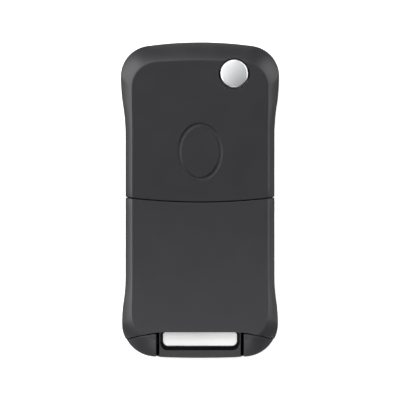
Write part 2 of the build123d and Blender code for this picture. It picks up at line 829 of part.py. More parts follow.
# Coil spring between the anchor and the button's flange: it throws the blade out and lifts the button
spring_low = wall + anchor_thickness + spring_wire / 2 + seat_gap
spring_high = flange_low_z - spring_wire / 2 - seat_gap
with BuildPart() as torsion_spring:
    with BuildLine():
        coil = Helix(
            (spring_high - spring_low) / spring_turns,
            spring_high - spring_low,
            spring_radius,
            center=(pivot_x, pivot_y, spring_low),
        )
    with BuildSketch(Plane(coil @ 0, z_dir=coil % 0)):
        RegularPolygon(spring_wire / 2, 6)
    sweep()
torsion_spring.part.label = "torsion_spring"
export_step(torsion_spring.part, "parts/torsion_spring.step")

# Transponder pocket's cover: a plate with a plug that stands in the pocket's mouth
with BuildPart() as transponder_cover:
    with BuildSketch(Plane.XY.offset(pocket_top)):
        with Locations(pocket_point):
            Rectangle(*pocket_box)
    extrude(amount=pocket_cover)
    with BuildSketch(Plane.XY.offset(pocket_top)):
        with Locations(pocket_point):
            Rectangle(pocket_length - 2 * seat_gap, pocket_width - 2 * seat_gap)
    extrude(amount=-pocket_cover)
    chamfer(transponder_cover.faces().sort_by(Axis.Z)[-1].edges(), pocket_cover / 4)
transponder_cover.part.label = "transponder_cover"
export_step(transponder_cover.part, "parts/transponder_cover.step")

# Keys on the front: a rounded cap in its window, with a flange behind the wall
for name, (x, y) in zip(key_names, key_points):
    with BuildPart() as key:
        add(prism(key_plan(x, y), key_recess, flange_low))
        chamfer(key.faces().sort_by(Axis.Z)[0].edges(), key_recess)
        add(prism(key_plan(x, y, key_flange), flange_low, flange_low + key_flange_thickness))
    key.part.label = name
    export_step(key.part, f"parts/{name}.step")

# Rubber mat behind the keys, with a dome over each
pocket_grow = key_flange + key_gap
mat_half = key_length / 2 + pocket_grow + mat_margin
mat_top_y = key_points[0][1] + key_height / 2 + pocket_grow + key_gap * 2
mat_foot_y = key_points[-1][1] - key_height / 2 - pocket_grow - key_gap * 2
with BuildPart() as keypad_mat:
    add(prism(across_plan(mat_half, mat_foot_y, mat_top_y), wall, mat_high))
    for x, y in key_points:
        add(prism(key_plan(x, y, pocket_grow), wall, mat_low), mode=Mode.SUBTRACT)
    with Locations(*[(x, y, mat_high) for x, y in key_points]):
        Cone(
            mat_dome_radius,
            mat_dome_radius * 0.7,
            key_travel + mat_dome_rise,
            align=(Align.CENTER, Align.CENTER, Align.MIN),
        )
keypad_mat.part.label = "keypad_mat"
export_step(keypad_mat.part, "parts/keypad_mat.step")

# Clear window for the indicator light
with BuildPart() as indicator_lens:
    add(prism(disc_plan(*lens_point, lens_radius), key_recess / 2, flange_low))
    add(prism(disc_plan(*lens_point, lens_radius + key_flange), wall, flange_low + key_flange_thickness))
indicator_lens.part.label = "indicator_lens"
export_step(indicator_lens.part, "parts/indicator_lens.step")

# Screws that clamp the upper section's fingers to the lower front shell
with BuildPart() as coupling_screws:
    add(prism(round_plan(screw_places, screw_radius), tongue_low - screw_depth, tongue_high))
    add(prism(round_plan(screw_places, screw_head_radius), tongue_high, tongue_high + screw_head_height))
coupling_screws.part.label = "coupling_screws"
export_step(coupling_screws.part, "parts/coupling_screws.step")

# Sprung strip that touches the cell's rim, standing on a ledge against the left wall
strip_x = wall + seat_gap - waist_half
strip_z = ledge_top + seat_gap
with BuildPart() as rim_contact:
    with BuildSketch(Plane.XZ.offset(-ledge_points[1])):
        with BuildLine():
            Polyline(
                (strip_x, strip_z),
                (strip_x + contact_foot, strip_z),
                (strip_x + contact_foot, strip_z + contact_sheet),
                (strip_x + contact_sheet, strip_z + contact_sheet),
                (strip_x + contact_sheet, strip_z + contact_height),
                (strip_x, strip_z + contact_height),
                close=True,
            )
        make_face()
    extrude(amount=contact_width / 2, both=True)
rim_contact.part.label = "rim_contact"
export_step(rim_contact.part, "parts/rim_contact.step")

# Leaf that presses on the cell's face, staked to the cover's ceiling
leaf_left = leaf_x - leaf_length / 2
leaf_right = leaf_x + leaf_length / 2
leaf_tip = leaf_right + 2 * leaf_bend
with BuildPart() as face_contact:
    with BuildSketch(Plane.XZ.offset(-leaf_y)):
        with BuildLine():
            Polyline(
                (leaf_left, leaf_z),
                (leaf_right, leaf_z),
                (leaf_tip, leaf_z - leaf_bend),
                (leaf_tip, leaf_z - leaf_bend - contact_sheet),
                (leaf_right, leaf_z - contact_sheet),
                (leaf_left, leaf_z - contact_sheet),
                close=True,
            )
        make_face()
    extrude(amount=leaf_width / 2, both=True)
    add(prism(round_plan(leaf_stakes, stake_radius + seat_gap), 0, case_thickness), mode=Mode.SUBTRACT)
face_contact.part.label = "face_contact"
export_step(face_contact.part, "parts/face_contact.step")
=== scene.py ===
# %% [markdown]
# # A flip key remote shell, seen from its back
# The CAD frame holds every piece at its true size. Here the pieces that show get finer surfaces: the
# mouldings' rounded bevels and soft edges, the chromed button, the key caps. The frame is loaded first,
# because every piece is placed by it and rides on one of its bodies.

# %% Load the frame
import math
from collections import namedtuple

import bmesh
import bpy
import numpy as np
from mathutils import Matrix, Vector
from mathutils.geometry import delaunay_2d_cdt


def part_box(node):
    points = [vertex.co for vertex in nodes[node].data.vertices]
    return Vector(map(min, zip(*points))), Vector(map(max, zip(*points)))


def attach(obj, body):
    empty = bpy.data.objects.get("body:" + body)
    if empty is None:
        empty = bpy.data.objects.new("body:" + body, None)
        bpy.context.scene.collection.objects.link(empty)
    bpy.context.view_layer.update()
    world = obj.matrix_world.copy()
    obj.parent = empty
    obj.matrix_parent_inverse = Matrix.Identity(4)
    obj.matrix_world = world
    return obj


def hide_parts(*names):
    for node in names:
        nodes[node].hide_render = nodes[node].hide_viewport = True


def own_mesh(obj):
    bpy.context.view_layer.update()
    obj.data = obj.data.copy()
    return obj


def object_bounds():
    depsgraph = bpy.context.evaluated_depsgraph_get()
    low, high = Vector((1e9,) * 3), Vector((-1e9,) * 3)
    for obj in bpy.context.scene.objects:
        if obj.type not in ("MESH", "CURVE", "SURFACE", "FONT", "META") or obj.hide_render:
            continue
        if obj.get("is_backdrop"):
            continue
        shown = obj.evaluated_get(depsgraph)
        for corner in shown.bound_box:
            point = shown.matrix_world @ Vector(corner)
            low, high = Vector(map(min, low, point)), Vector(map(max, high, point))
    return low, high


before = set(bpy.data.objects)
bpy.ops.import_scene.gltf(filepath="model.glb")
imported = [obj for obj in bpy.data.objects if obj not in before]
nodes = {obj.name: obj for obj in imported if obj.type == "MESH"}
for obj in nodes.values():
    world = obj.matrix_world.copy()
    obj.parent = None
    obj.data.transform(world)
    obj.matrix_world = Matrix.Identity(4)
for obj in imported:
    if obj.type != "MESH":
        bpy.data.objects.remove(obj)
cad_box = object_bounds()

MM = 0.001
print("box of the CAD model in mm:", [[round(v / MM, 2) for v in corner] for corner in cad_box])

# %% [markdown]
# ## Sizes
# A moulding's outline is drawn for the flat panel and for the widest line of the case, and everything
# between them is a blend. So each of its sizes is a pair: panel, case. All lengths are in millimetres, and
# only the finished mesh is turned into metres.

# %% Sizes of the case
THICKNESS = 16.5
PARTING = THICKNESS / 2
OUTLINE = {
    "top": (34.6, 39.3), "crown_rise": (0.4, 0.85), "shoulder_radius": (6.4, 7.6),
    "shoulder_x": (16.85, 19.68), "neck_y": (15.9, 15.9), "waist_x": (16.75, 18.5), "hip_y": (-19.0, -19.0),
    "foot_x": (16.85, 19.39), "heel_radius": (6.3, 8.35), "heel_rise": (0.3, 0.25),
    "bottom": (-34.9, -39.3),
}
CAD_OUTLINE = OUTLINE | {"shoulder_radius": (8.0, 7.6)}
LENGTH, WAIST = OUTLINE["top"][1] - OUTLINE["bottom"][1], OUTLINE["waist_x"][1]
PIVOT = (8.5, 31.4)
JOINT_GAP = 0.25
SPLIT_MIDDLE, SPLIT_SAG = -0.46, 1.15
SPLIT_RADIUS = WAIST**2 / (2 * SPLIT_SAG)
SPLIT_CENTRE = SPLIT_MIDDLE + SPLIT_RADIUS
FOOT_JOINT, FOOT_RISE, FOOT_SAG = -32.8, 0.73, 2.36
FOOT_RADIUS = WAIST**2 / (2 * FOOT_SAG)
FOOT_CENTRE = FOOT_JOINT + FOOT_RISE - FOOT_RADIUS
NOTCH = 10.9
LOBE_STEP = 0.15
CHAMBER_HIGH, SLOT_HIGH = 12.1, 10.25
WINDOW_LEFT, WINDOW_FOOT = -1.35, 19.1
BLADE_REACH = 0.7 * LENGTH
SWING_GAP = 0.3
SLOT_FOOT = PIVOT[1] - BLADE_REACH - SWING_GAP
print("split arc radius:", round(SPLIT_RADIUS, 1), "foot arc radius:", round(FOOT_RADIUS, 1))

# %% [markdown]
# ## Small tools
# Most surfaces below are drawn in plan first and then given a height or an upward direction.

# %% Points and directions
UP = np.array([0.0, 0.0, 1.0])
MIRROR = (-1, 1, 1)


def unit(vectors):
    """Vectors made one long."""
    return vectors / np.maximum(np.linalg.norm(vectors, axis=-1, keepdims=True), 1e-9)


def circle(f):
    """(cos f, sin f) for each angle f."""
    return np.stack([np.cos(f), np.sin(f)], -1)


def right_of(leads):
    """The direction to the right of each plan direction (x, y), which is (y, -x)."""
    return np.stack([leads[..., 1], -leads[..., 0]], -1)


def lift(points, z=0.0):
    """Plan points or directions with z as their third coordinate."""
    return np.c_[points, np.broadcast_to(z, len(points))]


def tiled(vector, points):
    """The same vector for each point."""
    return np.tile(vector, (len(points), 1))


def joined(rows):
    """The first arrays of all rows end to end, then the second ones, and so on."""
    return [np.concatenate(column) for column in zip(*rows)]


def chained(spans):
    """Spans that meet end to end as one, with each meeting point once."""
    return np.concatenate([spans[0]] + [span[1:] for span in spans[1:]])


def full_turn(count):
    """Angles once round."""
    return np.linspace(0, 2 * math.pi, count, endpoint=False)


print("up is", UP)

# %% [markdown]
# ## The outline as one curve
# The silhouette is nine tangent arcs and lines from the middle of the foot to the middle of the crown.
# Worked out as arcs, each level of the bevel has the same nine stretches, so its columns of vertices line
# up and the highlights run smoothly round the corners.

# %% Arcs and the half outline
STEPS = 48
STRETCHES = np.linspace(0, 9, 9 * (STEPS - 1) + 1)


def arc(start, lead, end):
    """The circle that leaves start along lead and passes through end.

    If the chord is turned by an angle a from the lead, the point at share u lies at the chord's length
    times sin(a u) / sin(a), turned by a u from the lead."""
    chord = np.subtract(end, start)
    a = math.atan2(lead[0] * chord[1] - lead[1] * chord[0], lead[0] * chord[0] + lead[1] * chord[1])
    u = np.linspace(0, 1, STEPS)
    size = np.hypot(*chord) * (np.sin(a * u) / math.sin(a) if abs(a) > 1e-9 else u)
    return np.array(start) + size[:, None] * circle(math.atan2(lead[1], lead[0]) + a * u)


def end_touch(x, y, radius, end):
    """Where the shallow arc across an end of the case runs into its corner's arc."""
    reach = abs(end - y)
    shallow = (x**2 + reach**2 - radius**2) / (2 * (reach - radius))
    centre = np.array([0, end - math.copysign(shallow, end - y)])
    return centre + unit(np.array([x, y]) - centre) * shallow


def half_outline(share, inset=0.0, sizes=OUTLINE):
    """Right half of the outline at a share of the way from the panel (0) to the case's edge (1).

    Nine stretches, joined end to end: heel, foot corner, two hip arcs, waist, two neck arcs, shoulder
    corner and crown. Stretch k covers the parameter from k to k + 1."""
    at = {name: panel + share * (case - panel) for name, (panel, case) in sizes.items()}
    top, bottom = at["top"] - inset, at["bottom"] + inset
    curve, heel_curve = at["shoulder_radius"] - inset, at["heel_radius"] - inset
    shoulder = (at["shoulder_x"] - inset, top - at["crown_rise"] - curve)
    foot = (at["foot_x"] - inset, bottom + at["heel_rise"] + heel_curve)
    neck, hip = (at["waist_x"] - inset, at["neck_y"]), (at["waist_x"] - inset, at["hip_y"])
    crown_end = end_touch(shoulder[0] - curve, shoulder[1], curve, top)
    heel_end = end_touch(foot[0] - heel_curve, foot[1], heel_curve, bottom)
    neck_bend, hip_bend = np.add(shoulder, neck) / 2, np.add(hip, foot) / 2
    up, down, right = (0, 1), (0, -1), (1, 0)
    stretches = [
        arc((0, bottom), right, heel_end), arc(foot, down, heel_end)[::-1],
        arc(foot, up, hip_bend), arc(hip, down, hip_bend)[::-1], np.linspace(hip, neck, STEPS),
        arc(neck, up, neck_bend), arc(shoulder, down, neck_bend)[::-1],
        arc(shoulder, up, crown_end), arc((0, top), right, crown_end)[::-1],
    ]
    return chained(stretches)


def first_crossing(values, places=STRETCHES):
    """The place at which values, one for each place, first change sign."""
    i = int(np.argmax(np.sign(values[1:]) != np.sign(values[:-1])))
    share = values[i] / (values[i] - values[i + 1])
    return places[i] + share * (places[i + 1] - places[i])


rim = half_outline(1.0)
print("outline points:", len(rim), "widest at y =", round(float(rim[np.argmax(rim[:, 0]), 1]), 2))

# %% [markdown]
# ## Levels of the bevel
# The bevel leaves the flat panel at a crease, steepens slowly and turns down into the side wall at its very
# edge. Its section is given by its tilt, because a face tilted by a mirrors what stands 90 - 2a degrees
# high: from 18 to 27 degrees the high soft boxes, which draw the bright line along the crease, and beyond
# 31 degrees the low ones.

# %% Rows from the panel down to the side wall
BEVEL_SHARES = np.array([0.0, 0.02, 0.06, 0.12, 0.2, 0.35, 0.5, 0.65, 0.8, 0.92, 0.975, 0.99, 1.0])
BEVEL_TILTS = np.radians([12, 18, 22, 25, 27, 29, 31, 33, 35, 37, 39, 58, 82])
CREASE, CREASE_DROP = 0.22, 0.006
SLOPES = np.tan((BEVEL_TILTS[1:] + BEVEL_TILTS[:-1]) / 2)
BEVEL_DROPS = np.concatenate([[CREASE_DROP], np.cumsum(SLOPES * np.diff(BEVEL_SHARES))])
BEVEL = float(BEVEL_DROPS[-1] * np.diff(OUTLINE["shoulder_x"])[0])
COUNTS = [12, 30, 9, 9, 14, 9, 9, 30, 16]


def levels(inset=0.0):
    """(share, inset, drop) of each row of vertices: one on the panel, then the bevel's. The drop is for
    each mm of the bevel's width, so that its tilt is the same where it is wide and where it is narrow."""
    return [(0.0, inset + CREASE, 0.0)] + [(s, inset, drop) for s, drop in zip(BEVEL_SHARES, BEVEL_DROPS)]


def columns(low, high):
    """Parameters along the outline between low and high, closer together round the corners."""
    edges = [low] + [k for k in range(10) if low < k < high] + [high]
    pairs = zip(edges, edges[1:])
    return chained([np.linspace(a, b, max(2, round(COUNTS[int(a)] * (b - a)) + 1)) for a, b in pairs])


def width_across(outer, inner):
    """Width of the bevel at each column, measured square to the outer line."""
    along = np.gradient(outer, axis=0)
    gap = outer - inner
    return np.abs(gap[:, 0] * along[:, 1] - gap[:, 1] * along[:, 0]) / np.hypot(*along.T)


def side_grid(low_cut, high_cut=None, inset=0.0, still=()):
    """Bevel rows by outline columns, between two cuts. A cut takes outline points and says on which side
    of the joint each lies. The columns between the two still ones don't move from level to level."""
    rows = levels(inset)
    outlines = [half_outline(share, more) for share, more, drop in rows]
    low = [first_crossing(low_cut(o)) for o in outlines]
    high = [first_crossing(high_cut(o)) if high_cut else 9.0 for o in outlines]
    base = columns(low[-1], high[-1])
    still = [k for k in still if max(low) < k < min(high)]
    grid = np.empty((len(rows), len(base), 3))
    for i, outline in enumerate(outlines):
        u = np.interp(base, [low[-1], *still, high[-1]], [low[i], *still, high[i]])
        for k in (0, 1):
            grid[i, :, k] = np.interp(u, STRETCHES, outline[:, k])
    width = width_across(grid[-1, :, :2], grid[1, :, :2])
    grid[:, :, 2] = THICKNESS - inset - np.array([drop for *_, drop in rows])[:, None] * width
    return grid


print("bevel rows:", len(levels()), "drop in mm:", round(BEVEL, 2))

# %% [markdown]
# ## Mesh patches
# A moulding is put together from patches: grids for the bevel and the rolled edges, and triangulated
# sheets for the panel and the side wall, which have openings. Each patch carries the direction that its
# vertices face, and that is what turns its faces outwards. Patches share their edge vertices, which are
# then merged.

# %% Patches
ROLL_STEPS = np.linspace(0, math.pi / 2, 5)
SKIRT = 0.6
SKIRT_LEAN = -0.04
PATH_STEP, MARK_MARGIN = 0.6, 0.05
BEND_POINTS = 7
BITE_MARGIN = 0.25
OUT_AND_UP = (1, 0.3, 0), 12
WELD = 1e-7
# Vertices, the direction each faces, faces as rows of vertex numbers, and whether they are shaded smooth.
Patch = namedtuple("Patch", "points facing faces smooth")


def mirrored(patches, scale, shift=0.0):
    """The same patches with one axis turned round and then moved."""
    return [Patch(p.points * scale + shift, p.facing * scale, p.faces[:, ::-1], p.smooth) for p in patches]


def turned_out(points, facing, faces, smooth=True, together=False):
    """A patch whose faces agree with their vertices' facing, each by itself or as most of them need it."""
    corners = points[faces]
    normals = np.cross(corners[:, -2] - corners[:, 0], corners[:, -1] - corners[:, 1])
    wrong = np.einsum("ij,ij->i", normals, facing[faces].mean(1)) < 0
    if together:
        wrong[:] = wrong.mean() > 0.5
    faces = faces.copy()
    faces[wrong] = faces[wrong, ::-1]
    return Patch(points, facing, faces, smooth)


def grid_patch(grid, facing, closed=False, smooth=True):
    """Quads over a grid of rows and columns, closed where the last column meets the first."""
    rows, cols = grid.shape[:2]
    number = np.arange(rows * cols).reshape(rows, cols)
    if closed:
        number = np.concatenate([number, number[:, :1]], 1)
    quads = np.stack([number[:-1, :-1], number[:-1, 1:], number[1:, 1:], number[1:, :-1]], -1)
    return turned_out(grid.reshape(-1, 3), facing.reshape(-1, 3), quads.reshape(-1, 4), smooth, True)


def bevel_facing(grid):
    """Normals of a bevel from the cross product of its two directions, on the side away from the middle."""
    normal = unit(np.cross(np.gradient(grid, axis=1), np.gradient(grid, axis=0)))
    side = np.sign(np.einsum("ijk,ijk->ij", normal, grid * OUT_AND_UP[0] + UP * OUT_AND_UP[1]))
    normal *= np.where(side == 0, 1, side)[..., None]
    normal[0] = UP
    return normal


def sheet(loops, inner=()):
    """Triangles that fill the first loop of 2-D points, less the loops inside it, through inner points."""
    flat, rings = [], []
    for loop in loops:
        rings.append(list(range(len(flat), len(flat) + len(loop))))
        flat += [Vector(p) for p in np.asarray(loop).tolist()]
    flat += [Vector(p) for p in np.asarray(inner).reshape(-1, 2).tolist()]
    points, _, faces, *_ = delaunay_2d_cdt(flat, [], rings, 2, WELD)
    return np.array([tuple(p) for p in points]), np.array([tuple(f) for f in faces])


def rolled_edge(points, facing, outwards, radius, lean=SKIRT_LEAN):
    """A quarter round along a closed edge, from the skin at points into the opening, then a short skirt.

    A point of the round is the point less radius times (facing - (cos f facing + sin f outwards)). The
    skirt leans back a little, or towards the opening where lean is positive."""
    facing = unit(facing)
    outwards = unit(outwards - np.einsum("ij,ij->i", outwards, facing)[:, None] * facing)
    turned = [math.cos(f) * facing + math.sin(f) * outwards for f in ROLL_STEPS]
    rows = [points + radius * (t - facing) for t in turned]
    rows.append(rows[-1] - SKIRT * facing + lean * outwards)
    return grid_patch(np.array(rows), np.array([*turned, outwards]), closed=True)


def rounded_path(corners, radii, marks=None):
    """A path of straight legs with right-angled corners made round, and the direction to its right.

    Legs along the first axis also get points at marks, where the wall that they lie on bends."""
    corners = np.asarray(corners, float)
    leads = unit(np.diff(corners, axis=0))
    legs = []
    start = corners[0]
    for i, lead in enumerate(leads):
        radius = radii[i] if i < len(leads) - 1 else 0.0
        end = corners[i + 1] - lead * radius
        if marks is not None and abs(lead[0]) > 0.5:
            low, high = sorted((start[0], end[0]))
            s = marks[(marks > low + MARK_MARGIN) & (marks < high - MARK_MARGIN)]
            s = s[::1 if lead[0] > 0 else -1]
            leg = np.concatenate([[start], np.c_[s, np.full(len(s), start[1])], [end]])
        else:
            leg = np.linspace(start, end, max(2, int(np.hypot(*(end - start)) / PATH_STEP) + 1))
        legs.append((leg, tiled(right_of(lead), leg)))
        if radius:
            after = leads[i + 1]
            f = np.linspace(0, math.pi / 2, BEND_POINTS)[1:-1, None]
            bend = end + radius * (np.sin(f) * lead + (1 - np.cos(f)) * after)
            legs.append((bend, right_of(np.cos(f) * lead + np.sin(f) * after)))
            start = corners[i + 1] + after * radius
    return joined(legs)


print("patch tools ready")

# %% [markdown]
# ## Side wall, panel and joints of a moulding
# The side wall is a band that can be unrolled: length along the outline one way, height the other. Its
# lower edge steps up over the carrier's window and over the blade's slot, so it is drawn as a path in
# the unrolled band, filled with triangles and rolled back round the case. Every free edge gets a small
# round, because a moulded edge is never sharp and the round is what catches the light.

# %% Skin of a moulding
EDGE = 0.15
JOINT_DRAFT = 0.11
WALL_STEP, WALL_STEPS, WALL_FOOT = 0.6, 13, 8
WALL_MARGIN, WALL_TOP_MARGIN, EDGE_REACH = 0.4, 0.35, 0.7
# Edges this near to y = 0 that face along the plan belong to the split, where the skirts lean together.
SPLIT_BAND, UPRIGHT = 2, 0.3


def wall(grid, path):
    """The upright wall under a bevel's last row, and its lower edge with facing and outwards.

    A point of the wall at length s and height z is the outline at s, raised to z."""
    row, tops = grid[-1], grid[-1, :, 2]
    s = np.concatenate([[0.0], np.cumsum(np.hypot(*np.diff(row[:, :2], axis=0).T))])
    line, right = rounded_path(*path(row, s), marks=s)
    edge = line - EDGE * right
    edge[:, 0] = np.clip(edge[:, 0], 0, s[-1])
    near = np.abs(edge[:, 0] - s[:, None]) < EDGE_REACH
    floor = np.where(near, edge[:, 1], WALL_FOOT).max(1)
    mid = (s > WALL_MARGIN) & (s < s[-1] - WALL_MARGIN)
    a, z = np.meshgrid(s[mid], tops.max() - np.arange(1, WALL_STEPS + 1) * WALL_STEP, indexing="ij")
    inside = (z > floor[mid, None] + WALL_MARGIN) & (z < tops[mid, None] - WALL_TOP_MARGIN)
    flat, faces = sheet([np.concatenate([edge, np.c_[s, tops][-2:0:-1]])], np.c_[a[inside], z[inside]])
    along = unit(np.gradient(row[:, :2], s, axis=0))

    def rolled_up(points):
        place, lead = [np.stack([np.interp(points[:, 0], s, p) for p in q.T[:2]], 1) for q in (row, along)]
        return lift(place, points[:, 1]), lift(-right_of(lead)), lift(lead)

    place, facing, _ = rolled_up(flat)
    edge_place, edge_facing, lead = rolled_up(edge)
    outwards = right[:, :1] * lead + right[:, 1:] * UP
    return turned_out(place, facing, faces), edge_place, edge_facing, outwards


def bitten(grid, facing, bite):
    """A bevel without a block of its rows and columns near a hole that crosses the crease.

    Gives the patches that are left, the panel's edge led round the block, and the block's own vertices."""
    x, y, reach, deep = bite
    away = np.hypot(grid[..., 0] - x, grid[..., 1] - y)
    near = np.flatnonzero(away[:deep + 1].min(0) < reach)
    first, last = near[0] - 1, near[-1] + 1
    parts = [np.s_[:, :first + 1], np.s_[deep:, first:last + 1], np.s_[:, last:]]
    cols = np.arange(grid.shape[1])
    walk = [(0 * cols[:first], cols[:first]), (np.arange(deep), np.full(deep, first)),
            (np.full(last - first, deep), cols[first:last]), (np.arange(deep, 0, -1), np.full(deep, last)),
            (0 * cols[last:], cols[last:])]
    rows, places = joined(walk)
    kept = np.zeros(away.shape, bool)
    kept[:deep, first + 1:last] = away[:deep, first + 1:last] > reach - BITE_MARGIN
    return [grid_patch(grid[part], facing[part]) for part in parts], (rows, places), np.nonzero(kept)


def skin(strips, joins, holes=(), height=THICKNESS, bite=None):
    """The outside of a moulding: for each strip its bevel and wall, then the panel between all of them.

    A strip is its bevel, its wall's path and the directions out of its two ends. Strips run clockwise seen
    from above, and a join is the panel's edge from one strip to the next. The free edge is one closed line
    through the walls, bevels and joins, and it is rolled in one piece."""
    patches, borders, block, free = [], [], [], []
    facings = [bevel_facing(grid) for grid, *_ in strips]
    joins = [(lift(points, height), tiled(UP, points), out) for points, out in joins]
    for (grid, *_), facing, join in zip(strips, facings, joins):
        bevel, way, inner = [grid_patch(grid, facing)], (0, slice(None)), ([], [])
        if bite:
            bevel, way, inner = bitten(grid, facing, bite)
        patches += bevel
        borders += [(grid[way], facing[way]), join[:2]]
        block.append((grid[inner], facing[inner]))
    for i, (grid, path, _, end_out) in enumerate(strips):
        band, *foot = wall(grid, path)
        patches.append(band)
        k = (i + 1) % len(strips)
        rise, fall = grid[-2::-1, -1], strips[k][0][:-1, 0]
        free += [foot, (rise, facings[i][-2::-1, -1], end_out(rise)), joins[i],
                 (fall, facings[k][:-1, 0], strips[k][2](fall))]
    points, facing = joined([*borders, *block, *[hole[:2] for hole in holes]])
    loops = [joined(borders)[0], *[ring for ring, *_ in holes]]
    flat, faces = sheet([loop[:, :2] for loop in loops], joined(block)[0][:, :2])
    nearest = np.argmin(((flat[:, None] - points[None, :, :2]) ** 2).sum(-1), 1)
    points, facing = points[nearest], facing[nearest]
    bent = np.ptp(points[faces][..., 2], axis=1) > 1e-4
    patches.append(turned_out(points, facing, faces, smooth=bent))
    rim, rim_facing, rim_out = joined(free)
    at_split = (np.abs(rim[:, 1]) < SPLIT_BAND) & (np.abs(rim_out[:, 2]) < UPRIGHT)
    lean = np.where(at_split, JOINT_DRAFT, SKIRT_LEAN)[:, None]
    lining = [patch for *_, more in holes for patch in more]
    return [*patches, rolled_edge(rim, rim_facing, rim_out, EDGE, lean), *lining]


def away_from(centre_y, sign):
    """Direction in plan from a centre on the middle line, outwards (1) or towards it (-1)."""
    return lambda points: sign * unit(lift(points[:, :2] - (0, centre_y)))


def arc_join(start_x, end_x, centre_y, radius, side, sign, count=61):
    """Panel edge along a joint's arc, between two x places, without its ends."""
    x = np.linspace(start_x, end_x, count)[1:-1]
    points = np.c_[x, centre_y + side * np.sqrt(radius**2 - x**2)]
    return points, away_from(centre_y, sign)(points)


print("edge radius of the mouldings in mm:", EDGE)

# %% [markdown]
# ## Openings in the panel
# The button's bore, the key windows and the lens hole are cut through, and the back has a shallow oval
# groove round a bare field. Each opening is the panel's edge, its normals and the patches that line it.

# %% Holes and the oval groove
RAY_HUB = np.array([0.0, 20.0])
OUTLINES = [half_outline(share) for share in BEVEL_SHARES]
ABOVE = OUTLINES[0][:, 1] > 0
BEVEL_WIDTH = width_across(OUTLINES[-1], OUTLINES[0])[ABOVE]
SLOPE_STEP = 0.02
GROOVE_EDGE, GROOVE_WALL, GROOVE_FLOOR = 0.12, (0.02, 0.06), 0.1


def from_hub(points):
    """Angle and distance of plan points seen from the hub."""
    ray = points - RAY_HUB
    return np.arctan2(ray[:, 1], ray[:, 0]), np.hypot(*ray.T)


def back_height(points):
    """Height of the upper section's back at points in plan, right of the middle line.

    A ray from a hub to the point crosses the outline of each bevel row; the row at the point's own
    distance gives its share across the bevel, and the share times the local width gives the drop."""
    angle, reach = from_hub(points)
    spokes = [from_hub(outline[ABOVE]) for outline in OUTLINES]
    rings = [np.interp(angle, *spoke) for spoke in spokes]
    drop = np.zeros(len(points))
    for near, far, low, high in zip(rings, rings[1:], BEVEL_DROPS, BEVEL_DROPS[1:]):
        share = np.clip((reach - near) / (far - near), 0, 1)
        drop = np.where(reach > near, low + share * (high - low), drop)
    return THICKNESS - drop * np.interp(angle, spokes[0][0], BEVEL_WIDTH)


def on_back(points):
    """Points of the back above plan points, with the normal from the height's change in x and in y."""
    moves = np.eye(2) * SLOPE_STEP
    slopes = [(back_height(points + m) - back_height(points - m)) / (2 * SLOPE_STEP) for m in moves]
    return lift(points, back_height(points)), unit(lift(-np.array(slopes).T, 1.0))


def on_level(points):
    """Points of the flat panel above plan points, with their normals."""
    return lift(points, THICKNESS), tiled(UP, points)


def hole(path, right, surface=on_level, edge=EDGE, lean=SKIRT_LEAN):
    """An opening whose edge runs clockwise, so that the opening is on the right of its path."""
    ring, facing = surface(path - edge * right)
    return ring, facing, [rolled_edge(ring, facing, lift(right), edge, lean)]


def round_hole(x, y, radius, count=72, **how):
    """A circular opening."""
    ring = circle(-full_turn(count))
    return hole(np.array([x, y]) + radius * ring, -ring, **how)


def window(x, y, width, height, radius):
    """An opening that is a rectangle with round corners."""
    a, b = width / 2, height / 2
    corners = np.array([(0, b), (a, b), (a, -b), (-a, -b), (-a, b), (0, b)]) + (x, y)
    path, right = rounded_path(corners, [radius] * 4)
    return hole(path[:-1], right[:-1])


def oval_groove(x, y, half_width, half_height, width, depth, count=120):
    """A shallow groove with rounded edges between two ovals. The oval at t is (a cos t, b sin t), and its
    outward normal is (b cos t, a sin t) made one long. Its section is rows of (across, down, lean)."""
    ring = circle(full_turn(count))
    oval, normal = ring * (half_width, half_height), unit(ring * (half_height, half_width))
    r = GROOVE_EDGE
    half = [(r * (math.sin(f) - 1), r * (1 - math.cos(f)), math.sin(f)) for f in ROLL_STEPS]
    half += [(GROOVE_WALL[0], depth - GROOVE_WALL[1], 1.0), (GROOVE_FLOOR, depth, 0.0)]
    section = half + [(width - a, down, -lean) for a, down, lean in half[::-1]]
    grid = np.array([lift(-a * normal + oval + (x, y), THICKNESS - down) for a, down, _ in section])
    facing = np.array([lift(-lean * normal, 0.6) for *_, lean in section])
    patch = grid_patch(grid, facing, closed=True)
    return [(*on_level(grid[0, :, :2]), [patch]), (*on_level(grid[-1, :, :2]), [])]


print("openings ready")

# %% [markdown]
# ## The four mouldings
# Each section is a back half and a front half. The outline and the bevel are the same on both sides, so
# the front is the back turned over. Only the joints differ: the curved split between the sections, the
# curved joint at the foot, the lobes beside the key ring's eye and the notch between them.

# %% Where each strip starts and ends
UPPER_CUT, LOWER_CUT = SPLIT_RADIUS - JOINT_GAP / 2 - EDGE, SPLIT_RADIUS + JOINT_GAP / 2 + EDGE
COVER_FOOT, LOBE_HEAD = FOOT_RADIUS + EDGE, FOOT_RADIUS - JOINT_GAP - EDGE
OUT_OF_SPLIT, INTO_SPLIT = away_from(SPLIT_CENTRE, 1), away_from(SPLIT_CENTRE, -1)
SOFT, STEP_SOFT, WIDE_SOFT = 0.35, 0.5, 0.6
LOBE_GAP = 0.3


def past_arc(centre_y, radius):
    """How far points lie outside a circle on the middle line."""
    return lambda points: np.hypot(points[:, 0], points[:, 1] - centre_y) - radius


def past_notch(points):
    """How far points lie to the right of the notch's edge."""
    return points[:, 0] - (NOTCH + EDGE)


def to_side(x):
    """Direction to the right (1) or to the left (-1)."""
    return lambda points: tiled((x, 0.0, 0.0), points)


